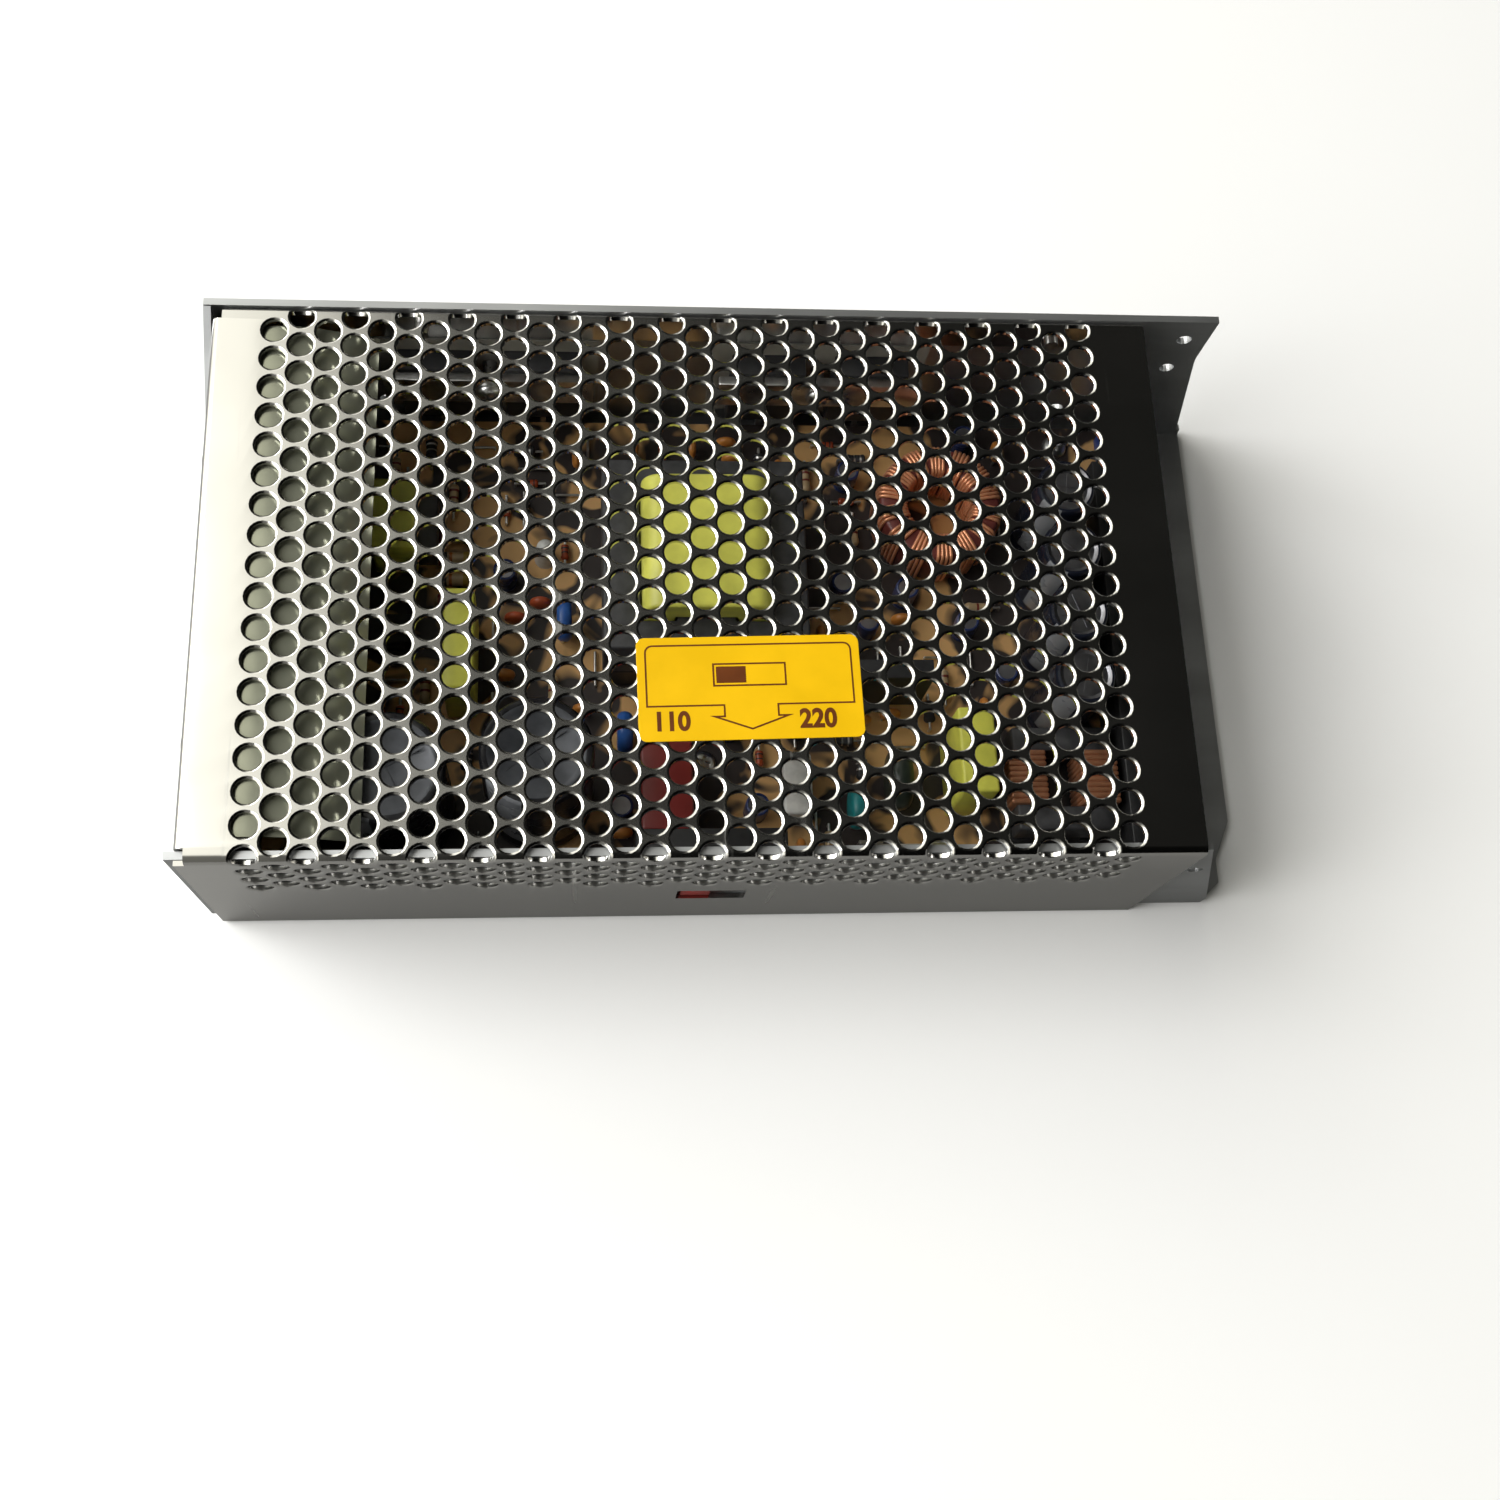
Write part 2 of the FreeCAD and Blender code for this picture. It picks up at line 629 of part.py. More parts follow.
def vent_punches():
    """All the vents, laid out on the flat sheet and carried round the near bend."""
    width = size("vent_width")
    row_pitch = size("vent_row_pitch")
    column_pitch = size("vent_column_pitch")
    first_x = size("vent_end_margin - " + COVER_LEFT)
    last_x = size(COVER_RIGHT + " - bay_vent_margin")
    first_y = size(COVER_FAR + " - vent_far_margin")
    fold_y = size("case_width / 2")
    top = size("case_height")
    sheet_depth = size("cover_sheet")
    lowest = size("case_height - vent_side_depth")
    punch = vent_prism(width, 2 * sheet_depth)
    punches = []
    columns = int((last_x - first_x) / column_pitch) + 1
    for column in range(columns):
        x = first_x + column * column_pitch
        y = first_y - (0 if column % 2 else row_pitch / 2)
        while True:
            past_fold = -fold_y - y
            tool = punch.copy()
            if past_fold < -width / 2:
                tool.translate(Vector(x, y, top))
            elif past_fold < width / 4:
                tool.rotate(Vector(), Vector(1, 0, 0), 45)
                tool.translate(Vector(x, sheet_depth - fold_y, top - sheet_depth))
            elif top - past_fold > lowest:
                tool.rotate(Vector(), Vector(1, 0, 0), 90)
                tool.translate(Vector(x, -fold_y, top - past_fold))
            else:
                break
            punches.append(tool)
            y -= row_pitch
    tools = doc.addObject("Part::Feature", "VentPunches")
    tools.Shape = Part.makeCompound(punches)
    return tools


def make_cover():
    """Top, near side, end flange and far lip, folded from one sheet and punched."""
    body = doc.addObject("PartDesign::Body", "CoverBlank")
    section = outline(body, "CoverSection", "YZ_Plane", "-" + COVER_LEFT, [
        ("-case_width / 2", "cover_lift"),
        ("cover_sheet - case_width / 2", "cover_lift"),
        ("cover_sheet - case_width / 2", "case_height - cover_sheet"),
        (COVER_FAR + " - cover_sheet", "case_height - cover_sheet"),
        (COVER_FAR + " - cover_sheet", LIP_BOTTOM),
        (COVER_FAR, LIP_BOTTOM),
        (COVER_FAR, "case_height"),
        ("-case_width / 2", "case_height")])
    pad(body, section, "CoverFold", "%s + %s" % (COVER_LEFT, COVER_RIGHT))
    round_edges(body, "CoverBends", "cover_bend", lambda edge: (
        lies_on(edge, y="-case_width / 2", z="case_height") or lies_on(edge, y=COVER_FAR, z="case_height")))
    round_edges(body, "CoverInsideBends", "cover_bend - cover_sheet", lambda edge: (
        lies_on(edge, y="cover_sheet - case_width / 2", z="case_height - cover_sheet")
        or lies_on(edge, y=COVER_FAR + " - cover_sheet", z="case_height - cover_sheet")))
    end = rectangle(body, "EndOutline", "YZ_Plane", "-" + COVER_LEFT,
                    "corner_relief - case_width / 2", "case_height - end_flange_depth",
                    COVER_FAR + " - corner_relief", "case_height")
    pad(body, end, "EndFlange", "cover_sheet")
    for name, low, high in (("FarCoverRelief", COVER_FAR + " - corner_relief", COVER_FAR),
                            ("NearCoverRelief", "-case_width / 2", "corner_relief - case_width / 2")):
        notch = rectangle(body, name, "XY_Plane", LIP_BOTTOM, "-" + COVER_LEFT, low,
                          "2 * cover_sheet - " + COVER_LEFT, high)
        pocket(body, notch, name + "Cut", "far_lip_depth", reverse=True)
    round_edges(body, "CoverEndBend", "cover_bend", lambda edge: (
        lies_on(edge, x="-" + COVER_LEFT, z="case_height")))
    window(body, "CoverWindow", "case_width / 2 - cover_sheet", "cover_sheet")
    doc.recompute()

    through = "3 * cover_sheet"
    lip_start = COVER_FAR + " - 2 * cover_sheet"
    flange_start = "-(%s + cover_sheet)" % COVER_LEFT
    lip = bores("LipScrewHole", [("cover_screw_spacing / 2", lip_start, COVER_SCREW_HEIGHT),
                                 ("-cover_screw_spacing / 2", lip_start, COVER_SCREW_HEIGHT)],
                "screw_radius + sheet_gap", through, TURN_TO_Y)
    flange = bores("FlangeScrewHole", [(flange_start, "end_screw_spacing / 2", END_SCREW_HEIGHT),
                                       (flange_start, "-end_screw_spacing / 2", END_SCREW_HEIGHT)],
                   "screw_radius + sheet_gap", through, TURN_TO_X)
    node(cut("Cover", body, group("CoverPunches", [vent_punches()] + lip + flange)), "cover")


def screw(name, x, y, z, turn, head_radius, head_height, shank_radius, length):
    """A screw whose head sits on the given point and whose shank points along its turned +Z."""
    axis = turn.multVec(Vector(0, 0, 1))
    back = ["%s - (%s) * %g" % (place, head_height, step) for place, step in zip((x, y, z), axis)]
    head = rod(name + "Head", back[0], back[1], back[2], head_radius, head_height, turn, sides=12)
    shank = rod(name + "Shank", x, y, z, shank_radius, length, turn, sides=8)
    return fuse(name, [head, shank])


def make_case_screws():
    out_y = Rotation(Vector(1, 0, 0), 90)
    far = [screw("FarCoverScrew%d" % k, sign + "cover_screw_spacing / 2", FAR_Y, COVER_SCREW_HEIGHT, out_y,
                 "screw_head_radius", "screw_head_height", "screw_radius", "cover_screw_length")
           for k, sign in enumerate(("", "-"), start=1)]
    end = [screw("EndCoverScrew%d" % k, "-case_length / 2", sign + "end_screw_spacing / 2", END_SCREW_HEIGHT,
                 TURN_TO_X, "screw_head_radius", "screw_head_height", "screw_radius", "cover_screw_length")
           for k, sign in enumerate(("", "-"), start=1)]
    node(group("CoverScrews", far + end), "cover_screws")


def make_label():
    plate = block("LabelPlate", ("label_x", "label_y"), ("label_length", "label_width"),
                  "case_height", "label_thickness")
    doc.recompute()
    rounded = doc.addObject("Part::Fillet", "Label")
    rounded.Base = plate
    corners = [number for number, edge in enumerate(plate.Shape.Edges, start=1)
               if abs(edge.BoundBox.ZLength - size("label_thickness")) < 1e-6]
    rounded.Edges = [(number, size("label_corner"), size("label_corner")) for number in corners]
    node(rounded, "switch_label")


def make_board():
    """Insulating sheet, standoffs, board and board screws, stacked on the base."""
    middle = ("(%s + %s) / 2" % (BOARD_LEFT, BOARD_RIGHT), "0")
    film = block("Film", middle, BOARD_SPANS, "chassis_sheet", "insulator_thickness")
    posts = []
    wells = []
    screws = []
    board_low = "chassis_sheet + standoff_height"
    for k, (x, y) in enumerate(BOARD_HOLES, start=1):
        post = rod("StandoffBar%d" % k, x, y, "chassis_sheet", "standoff_flats / sqrt(3)", "standoff_height", sides=6)
        bore = rod("StandoffBore%d" % k, x, y, "chassis_sheet", "screw_hole_radius", "standoff_height", sides=8)
        posts.append(cut("Standoff%d" % k, post, bore))
        wells.append(rod("FilmWell%d" % k, x, y, "chassis_sheet", "film_well_radius", "insulator_thickness", sides=6))
        screws.append(screw("BoardScrew%d" % k, x, y, BOARD_TOP, DOWN, "screw_head_radius", "screw_head_height",
                            "screw_radius", "board_thickness + standoff_height / 2"))
    node(cut("InsulatingSheet", film, group("FilmWells", wells)), "insulating_sheet")
    node(group("Standoffs", posts), "board_standoffs")
    node(group("BoardScrews", screws), "board_screws")

    sheet = block("BoardSheet", middle, BOARD_SPANS, board_low, "board_thickness")
    holes = bores("BoardHole", [(x, y, board_low) for x, y in BOARD_HOLES], "screw_hole_radius", "board_thickness")
    node(cut("Board", sheet, group("BoardHoles", holes)), "circuit_board")


def make_terminals():
    """Barrier terminal block with clamp plates and screws in its cells."""
    front = "(case_length / 2 - terminal_setback)"
    length = "(%s * terminal_pitch + terminal_wall)" % TERMINAL_COUNT
    low_y = "(terminal_near_gap - case_width / 2)"
    body = doc.addObject("PartDesign::Body", "TerminalBody")
    profile = outline(body, "TerminalProfile", "XZ_Plane", "-(%s + %s)" % (low_y, length), [
        (front + " - terminal_depth", BOARD_TOP),
        (front, BOARD_TOP),
        (front, BOARD_TOP + " + terminal_step_height"),
        (front + " - terminal_depth + terminal_back", BOARD_TOP + " + terminal_height"),
        (front + " - terminal_depth", BOARD_TOP + " + terminal_height")])
    pad(body, profile, "TerminalBar", length)
    cell = outline(body, "TerminalCell", "XZ_Plane", "-(%s + terminal_pitch)" % low_y, [
        (front + " - terminal_depth + terminal_back / 2", BOARD_TOP + " + terminal_floor"),
        (front + " + terminal_wall", BOARD_TOP + " + terminal_floor"),
        (front + " + terminal_wall", BOARD_TOP + " + terminal_height + terminal_wall"),
        (front + " - terminal_depth + terminal_back / 2", BOARD_TOP + " + terminal_height + terminal_wall")])
    first = pocket(body, cell, "FirstCell", "terminal_pitch - terminal_wall", reverse=True)
    cells = body.newObject("PartDesign::LinearPattern", "Cells")
    cells.Originals = [first]
    axis = [part for part in body.Origin.OriginFeatures if part.Role == "Y_Axis"][0]
    cells.Direction = (axis, [""])
    cells.setExpression("Length", linked("(%s - 1) * terminal_pitch" % TERMINAL_COUNT))
    cells.setExpression("Occurrences", linked(TERMINAL_COUNT))
    body.Tip = cells
    node(body, "terminal_block")

    plates = []
    screws = []
    middle = front + " - (terminal_depth - terminal_back / 2) / 2"
    for k in range(int(size(TERMINAL_COUNT))):
        y = "%s + terminal_wall / 2 + terminal_pitch * %g" % (low_y, k + 0.5)
        span = "terminal_pitch - terminal_wall - 2 * clamp_plate_gap"
        plate = block("ClampBlank%d" % k, (middle, y), ("terminal_depth - 2 * terminal_back", span),
                      BOARD_TOP + " + terminal_floor", "clamp_plate_thickness")
        plates.append(plate)
        screws.append(rod("TerminalScrew%d" % k, middle, y,
                          BOARD_TOP + " + terminal_floor + clamp_plate_thickness",
                          "terminal_screw_head_radius", "terminal_screw_head_height", sides=12))
    node(group("ClampPlates", plates), "terminal_clamps")
    node(group("TerminalScrews", screws), "terminal_screws")


def make_trimmer():
    """Output trimmer with a slotted rotor, and the power lamp beside it."""
    x = "(case_length / 2 - trimmer_setback)"
    y = "(case_width / 2 - chassis_sheet - trimmer_from_wall)"
    case = block("TrimmerCase", (x, y), ("trimmer_size", "trimmer_size"), BOARD_TOP, "trimmer_height")
    bore = rod("TrimmerBore", x, y, BOARD_TOP + " + trimmer_height - rotor_shaft_length - rotor_clearance",
               "rotor_shaft_radius + rotor_clearance", "rotor_shaft_length + 2 * rotor_clearance")
    node(cut("TrimmerBody", case, bore), "trimmer_body")

    top = BOARD_TOP + " + trimmer_height + rotor_clearance"
    disc = rod("RotorDisc", x, y, top, "rotor_radius", "rotor_height")
    shaft = rod("RotorShaft", x, y, top + " - rotor_shaft_length", "rotor_shaft_radius", "rotor_shaft_length")
    slot = block("RotorSlot", (x, y), ("2 * rotor_radius + rotor_slot_width", "rotor_slot_width"),
                 top + " + rotor_height - rotor_slot_depth", "2 * rotor_slot_depth")
    node(cut("Rotor", fuse("RotorBlank", [disc, shaft]), slot), "trimmer_rotor")

    lamp_y = y + " - trimmer_size / 2 - lamp_gap - lamp_radius"
    stem = rod("LampStem", x, lamp_y, BOARD_TOP, "lamp_radius", "lamp_height - lamp_radius / 2", sides=16)
    tip = rod("LampTip", x, lamp_y, BOARD_TOP, "lamp_tip_radius", "lamp_height", sides=16)
    node(fuse("Lamp", [stem, tip]), "power_lamp")


def make_selector():
    """Slide switch behind the near wall, with its slide held in a channel."""
    face = NEAR_INSIDE
    body = doc.addObject("PartDesign::Body", "SelectorBody")
    shell = rectangle(body, "SelectorOutline", "XZ_Plane", face + " - selector_depth",
                      "selector_x - selector_width / 2", BOARD_TOP,
                      "selector_x + selector_width / 2", "selector_height + selector_tall / 2")
    pad(body, shell, "SelectorBlock", "selector_depth")
    half = "(slide_plate_width / 2 + slide_travel / 2 + slide_gap)"
    channel = rectangle(body, "SlideChannel", "XZ_Plane", face + " - slide_plate_depth - 2 * slide_gap",
                        "selector_x - " + half, "selector_height - slide_plate_tall / 2 - slide_gap",
                        "selector_x + " + half, "selector_height + slide_plate_tall / 2 + slide_gap")
    pocket(body, channel, "SlideChannelCut", "slide_plate_depth + 2 * slide_gap", reverse=True)
    node(body, "selector_body")

    x = "(selector_x - slide_travel / 2)"
    plate = block("SlidePlate", (x, "-" + face + " + slide_gap + slide_plate_depth / 2"),
                  ("slide_plate_width", "slide_plate_depth"),
                  "selector_height - slide_plate_tall / 2", "slide_plate_tall")
    reach = "(case_width / 2 - knob_recess - %s + slide_gap)" % face
    knob = block("SlideKnob", (x, "-case_width / 2 + knob_recess + %s / 2" % reach), ("knob_width", reach),
                 "selector_height - knob_tall / 2", "knob_tall")
    node(fuse("Slide", [plate, knob]), "selector_slide")


def make_transformer():
    """Ferrite core of two halves with the taped winding on its middle leg."""
    centre = ("transformer_x", "transformer_y")
    low = BOARD_TOP + " + core_height_above_board"
    frame = block("CoreFrame", centre, ("core_length", "core_width"), low, "core_thickness")
    inner = "(core_length - 2 * core_leg)"
    depth = "(core_width - 2 * core_yoke)"
    opening = block("CoreOpening", centre, (inner, depth), low, "core_thickness")
    leg = block("CoreMiddleLeg", centre, ("centre_leg", depth), low, "core_thickness")
    node(fuse("Core", [cut("CoreRing", frame, opening), leg]), "transformer_core")

    bottom = BOARD_TOP + " + winding_bottom"
    coil = block("CoilBlock", centre, (inner + " - 2 * winding_gap", depth + " - 2 * winding_gap"),
                 bottom, "winding_height")
    doc.recompute()
    soft = doc.addObject("Part::Fillet", "CoilRounded")
    soft.Base = coil
    upright = [number for number, edge in enumerate(coil.Shape.Edges, start=1)
               if edge.BoundBox.YLength > size(depth) - 1 and edge.BoundBox.XLength < 1e-6]
    soft.Edges = [(number, size("winding_round"), size("winding_round")) for number in upright]
    bore = block("CoilBore", centre, ("centre_leg + 2 * winding_gap", "core_width"),
                 low + " - winding_gap", "core_thickness + 2 * winding_gap")
    node(cut("Coil", soft, bore), "transformer_winding")

    foot = block("BobbinFoot", centre, ("bobbin_length", "bobbin_width"), BOARD_TOP, "bobbin_height")
    rails = [block("BobbinRail%d" % k, ("transformer_x", "transformer_y %s (core_width - core_yoke) / 2" % sign),
                   ("bobbin_length", "core_yoke"), BOARD_TOP, "core_height_above_board")
             for k, sign in enumerate(("-", "+"), start=1)]
    node(fuse("Bobbin", [foot] + rails), "transformer_bobbin")


def make_output_choke():
    """Ring core lying flat on its lowest turns, with the turns spaced round it."""
    x = from_end("choke")
    lift = BOARD_TOP + " + choke_wire + choke_turn_gap"
    outer = rod("ChokeOuter", x, "choke_y", lift, "choke_mean_radius + choke_core_width / 2",
                "choke_core_height", sides=32)
    inner = rod("ChokeInner", x, "choke_y", lift, "choke_mean_radius - choke_core_width / 2",
                "choke_core_height", sides=32)
    node(cut("ChokeCore", outer, inner), "output_choke_core")

    width = size("choke_turn_width")
    wire = size("choke_wire")
    room = size("choke_turn_gap")
    hollow = Vector(size("choke_core_width") + 2 * room, width, size("choke_core_height") + 2 * room)
    inside = size("choke_mean_radius") - hollow.x / 2
    around = Part.makeBox(hollow.x + 2 * wire, width, hollow.z + 2 * wire, Vector(inside - wire, -width / 2, 0))
    turn = around.cut(Part.makeBox(hollow.x, hollow.y, hollow.z, Vector(inside, -width / 2, wire)))
    turns = []
    for number in range(int(size("choke_turns"))):
        one = turn.copy()
        one.rotate(Vector(), Vector(0, 0, 1), (number + 0.5) * 360 / size("choke_turns"))
        turns.append(one)
    coil = doc.addObject("Part::Feature", "ChokeTurns")
    coil.Shape = Part.makeCompound(turns)
    bind(coil, x=x, y="choke_y", z=BOARD_TOP)
    node(coil, "output_choke_winding")


def make_capacitors():
    tall = "case_height - cover_sheet - bulk_cover_gap - " + BOARD_TOP
    for k, number in enumerate(("one", "two"), start=1):
        node(rod("Bulk%d" % k, along("bulk_" + number), from_side("bulk_" + number), BOARD_TOP, "bulk_radius", tall,
                 sides=36), "bulk_capacitor_%d" % k)
    for k in range(4):
        y = from_side("output_capacitor") + " - output_capacitor_pitch * %d" % k
        node(rod("OutputCan%d" % (k + 1), from_end("output_capacitor"), y, BOARD_TOP, "output_capacitor_radius",
                 "output_capacitor_height", sides=24), "output_capacitor_%d" % (k + 1))
    spots = [(along("bulk_one") + " - bulk_radius - small_capacitor_radius - small_capacitor_gap",
              "controller_y - small_capacitor_near_step"),
             (along("controller") + " - small_capacitor_radius", "controller_y + small_capacitor_far_step")]
    small = [rod("SmallCan%d" % k, x, y, BOARD_TOP, "small_capacitor_radius", "small_capacitor_height", sides=20)
             for k, (x, y) in enumerate(spots, start=1)]
    node(group("SmallCans", small), "small_capacitors")
    for stem, x, y in (("filter_capacitor", from_end("filter_capacitor"), from_side("filter_capacitor")),
                       ("film_capacitor", along("film_capacitor"), "film_capacitor_y"),
                       ("snubber_capacitor", along("snubber_capacitor"), from_side("snubber_capacitor"))):
        node(block(stem.title().replace("_", ""), (x, y), (stem + "_width", stem + "_length"),
                   BOARD_TOP, stem + "_height"), stem)


def disc_part(name, x, y, radius, thickness):
    """A coated disc on edge, facing along X, held up by its two leads."""
    middle = BOARD_TOP + " + disc_standoff + " + radius
    coat = rod(name + "Coat", "%s - %s / 2" % (x, thickness), y, middle, radius, thickness, TURN_TO_X, sides=20)
    leads = [block("%sLead%d" % (name, k), (x, "%s %s disc_lead_spread / 2" % (y, sign)),
                   ("disc_lead", "disc_lead"), BOARD_TOP, "disc_standoff + %s" % radius)
             for k, sign in enumerate(("-", "+"), start=1)]
    return fuse(name, [coat] + leads)


def make_discs():
    blue = [disc_part("BlueDisc1", along("disc_one"), "disc_one_y", "disc_radius", "disc_thickness"),
            disc_part("BlueDisc2", along("disc_two"), "disc_two_y", "disc_radius", "disc_thickness")]
    node(group("BlueDiscs", blue), "safety_capacitors")
    node(disc_part("Varistor", from_end("varistor"), from_side("varistor"), "disc_radius", "disc_thickness"), "varistor")
    node(disc_part("Thermistor", from_end("thermistor"), from_side("thermistor"), "thermistor_radius",
                   "thermistor_thickness"), "inrush_thermistor")


def make_filter_choke():
    """Square ring core on a foot, with a winding on each long side."""
    centre_x, centre_y = from_end("filter_choke"), from_side("filter_choke")
    centre = (centre_x, centre_y)
    low = BOARD_TOP + " + filter_choke_lift"
    foot = block("FilterFoot", centre, ("filter_choke_length", "filter_choke_width"), BOARD_TOP, "filter_choke_base")
    posts = [block("FilterPost%d" % k, (centre_x, "%s %s (filter_choke_width"
                                        " - filter_choke_bar) / 2" % (centre_y, sign)),
                   ("filter_choke_length / 2", "filter_choke_bar"), BOARD_TOP, "filter_choke_lift")
             for k, sign in enumerate(("-", "+"), start=1)]
    node(fuse("FilterBobbin", [foot] + posts), "filter_choke_base")
    frame = block("FilterFrame", centre, ("filter_choke_length", "filter_choke_width"), low,
                  "filter_choke_core_height")
    opening = block("FilterOpening", centre, ("filter_choke_length - 2 * filter_choke_bar",
                                              "filter_choke_width - 2 * filter_choke_bar"), low,
                    "filter_choke_core_height")
    node(cut("FilterCore", frame, opening), "filter_choke_core")
    coils = []
    for k, sign in enumerate(("-", "+"), start=1):
        x = "%s %s (filter_choke_length - filter_choke_bar) / 2" % (centre_x, sign)
        span = "(filter_choke_width - 2 * filter_choke_bar - 2 * winding_gap)"
        wound = block("FilterWound%d" % k, (x, centre_y),
                      ("filter_choke_bar + filter_choke_winding", span),
                      low + " - filter_choke_winding / 2", "filter_choke_core_height + filter_choke_winding")
        bore = block("FilterBore%d" % k, (x, centre_y), ("filter_choke_bar", "filter_choke_width"), low,
                     "filter_choke_core_height")
        coils.append(cut("FilterCoil%d" % k, wound, bore))
    node(group("FilterCoils", coils), "filter_choke_windings")


def make_fuse():
    fuse_x, fuse_y = from_end("fuse"), from_side("fuse")
    axis_z = BOARD_TOP + " + fuse_lift + fuse_radius"
    node(rod("FuseTube", fuse_x + " - fuse_length / 2", fuse_y, axis_z, "fuse_radius", "fuse_length", TURN_TO_X,
             sides=16), "fuse")
    clips = []
    for k, sign in enumerate(("-", "+"), start=1):
        x = "%s %s (fuse_length - fuse_cap_length) / 2" % (fuse_x, sign)
        cradle = block("ClipBlank%d" % k, (x, fuse_y), ("fuse_cap_length", "2 * (fuse_radius + fuse_clip_wall)"),
                       BOARD_TOP, "fuse_lift + fuse_clip_rise")
        seat = rod("ClipSeat%d" % k, x + " - fuse_cap_length", fuse_y, axis_z, "fuse_radius",
                   "2 * fuse_cap_length", TURN_TO_X, sides=16)
        clips.append(cut("FuseClip%d" % k, cradle, seat))
    node(group("FuseClips", clips), "fuse_clips")


def make_small_parts():
    legs = [block("BridgeLeg%d" % k, (from_end("bridge") + " + bridge_lead_pitch * %g" % place, "bridge_y"),
                  ("package_lead", "package_lead_depth"), BOARD_TOP, "bridge_lead_height")
            for k, place in enumerate((-1.5, -0.5, 0.5, 1.5))]
    case = block("BridgeCase", (from_end("bridge"), "bridge_y"), ("bridge_length", "bridge_thickness"),
                 BOARD_TOP + " + bridge_lead_height", "bridge_height")
    node(fuse("Bridge", [case] + legs), "bridge_rectifier")
    node(block("Ceramic", (from_end("ceramic"), from_side("ceramic")), ("ceramic_width", "ceramic_length"), BOARD_TOP,
               "ceramic_height"), "ceramic_resistor")

    core_z = BOARD_TOP + " + (driver_height - driver_core_height) / 2"
    core = block("DriverCoreBlank", (along("driver"), "driver_y"), ("driver_length", "driver_width"), core_z,
                 "driver_core_height")
    hollow = block("DriverHollow", (along("driver"), "driver_y"), ("driver_winding_width + 2 * winding_gap",
                                                              "driver_width"), core_z, "driver_core_height")
    halves = cut("DriverCore", core, hollow)
    node(halves, "driver_core")
    node(block("DriverCoil", (along("driver"), "driver_y"), ("driver_winding_width", "driver_width"), BOARD_TOP,
               "driver_height"), "driver_winding")

    chip = block("ControllerCase", (along("controller"), "controller_y"), ("controller_length", "controller_width"),
                 BOARD_TOP + " + controller_lift", "controller_height")
    pins = [block("ControllerPins%d" % k, (along("controller"), "controller_y %s controller_width / 2" % sign),
                  ("controller_length - controller_height", "2 * controller_lift"), BOARD_TOP,
                  "controller_lift + controller_height / 2") for k, sign in enumerate(("-", "+"), start=1)]
    node(fuse("Controller", [chip] + pins), "controller_chip")

    bars = [rod("Resistor%d" % k, along("resistor") + " - resistor_length / 2",
                "resistor_y - resistor_pitch * %d" % k, BOARD_TOP + " + resistor_radius",
                "resistor_radius", "resistor_length", TURN_TO_X, sides=12)
            for k in range(int(size("resistor_count")))]
    node(group("Resistors", bars), "resistors")


def make_power_devices():
    """Two pairs of packages on insulating pads, each pair under one clamp bar."""
    pads = []
    bars = []
    screws = []
    back = FAR_INSIDE + " - pad_thickness"
    front = back + " - package_thickness"
    for pair, x, label in (("Switch", along("switch"), "switching_transistors"),
                           ("Rectifier", along("rectifier"), "output_rectifiers")):
        packages = []
        for k, sign in enumerate(("-", "+"), start=1):
            name = "%s%d" % (pair, k)
            px = "%s %s package_spread" % (x, sign)
            middle = back + " - package_thickness / 2"
            case = block(name + "Case", (px, middle), ("package_width", "package_thickness"), PACKAGE_BOTTOM,
                         "package_height")
            legs = [block("%sLeg%d" % (name, leg), ("%s + package_lead_pitch * %d" % (px, leg - 1), middle),
                          ("package_lead", "package_lead_depth"), BOARD_TOP, "%s - %s" % (PACKAGE_BOTTOM, BOARD_TOP))
                    for leg in range(3)]
            packages.append(fuse(name, [case] + legs))
        node(group(pair + "Packages", packages), label)

        film = block(pair + "Film", (x, FAR_INSIDE + " - pad_thickness / 2"), ("pad_length", "pad_thickness"),
                     BOARD_TOP + " + pad_margin", "%s - %s - 2 * pad_margin" % (LIP_BOTTOM, BOARD_TOP))
        bar = block(pair + "Bar", (x, front + " - clamp_bar_thickness / 2"),
                    ("2 * package_spread + package_width + 2 * clamp_bar_end", "clamp_bar_thickness"),
                    CLAMP_HEIGHT + " - clamp_bar_height / 2", "clamp_bar_height")
        hole = rod(pair + "ScrewHole", x, front + " - 2 * clamp_bar_thickness", CLAMP_HEIGHT, "screw_hole_radius",
                   "3 * clamp_bar_thickness + package_thickness + pad_thickness", TURN_TO_Y, sides=8)
        pads.append(cut(pair + "Pad", film, hole))
        bars.append(cut(pair + "Clamp", bar, hole))
        screws.append(screw(pair + "ClampScrew", x, front + " - clamp_bar_thickness", CLAMP_HEIGHT, TURN_TO_Y,
                            "screw_head_radius", "screw_head_height", "screw_radius",
                            "clamp_bar_thickness + package_thickness + pad_thickness + chassis_sheet"))
    node(group("Pads", pads), "insulating_pads")
    node(group("ClampBars", bars), "clamp_bars")
    node(group("ClampScrews", screws), "clamp_screws")


make_chassis()
make_cover()
make_case_screws()
make_label()
make_board()
make_terminals()
make_trimmer()
make_selector()
make_transformer()
make_output_choke()
make_capacitors()
make_discs()
make_filter_choke()
make_fuse()
make_small_parts()
make_power_devices()
doc.recompute()

for thing in doc.Objects:
    if "Invalid" in thing.State or "Error" in thing.State:
        raise RuntimeError("%s did not build: %s" % (thing.Name, thing.State))
for thing in NODES:
    if thing.Shape.isNull() or not thing.Shape.isValid():
        raise RuntimeError("%s has no valid shape" % thing.Label)
for thing in NODES:
    thing.Shape.exportStep("parts/%s.step" % thing.Label)
    box = thing.Shape.BoundBox
    print("%-24s %2d solids  x %7.2f %7.2f  y %7.2f %7.2f  z %6.2f %6.2f" % (
        thing.Label, len(thing.Shape.Solids), box.XMin, box.XMax, box.YMin, box.YMax, box.ZMin, box.ZMax))
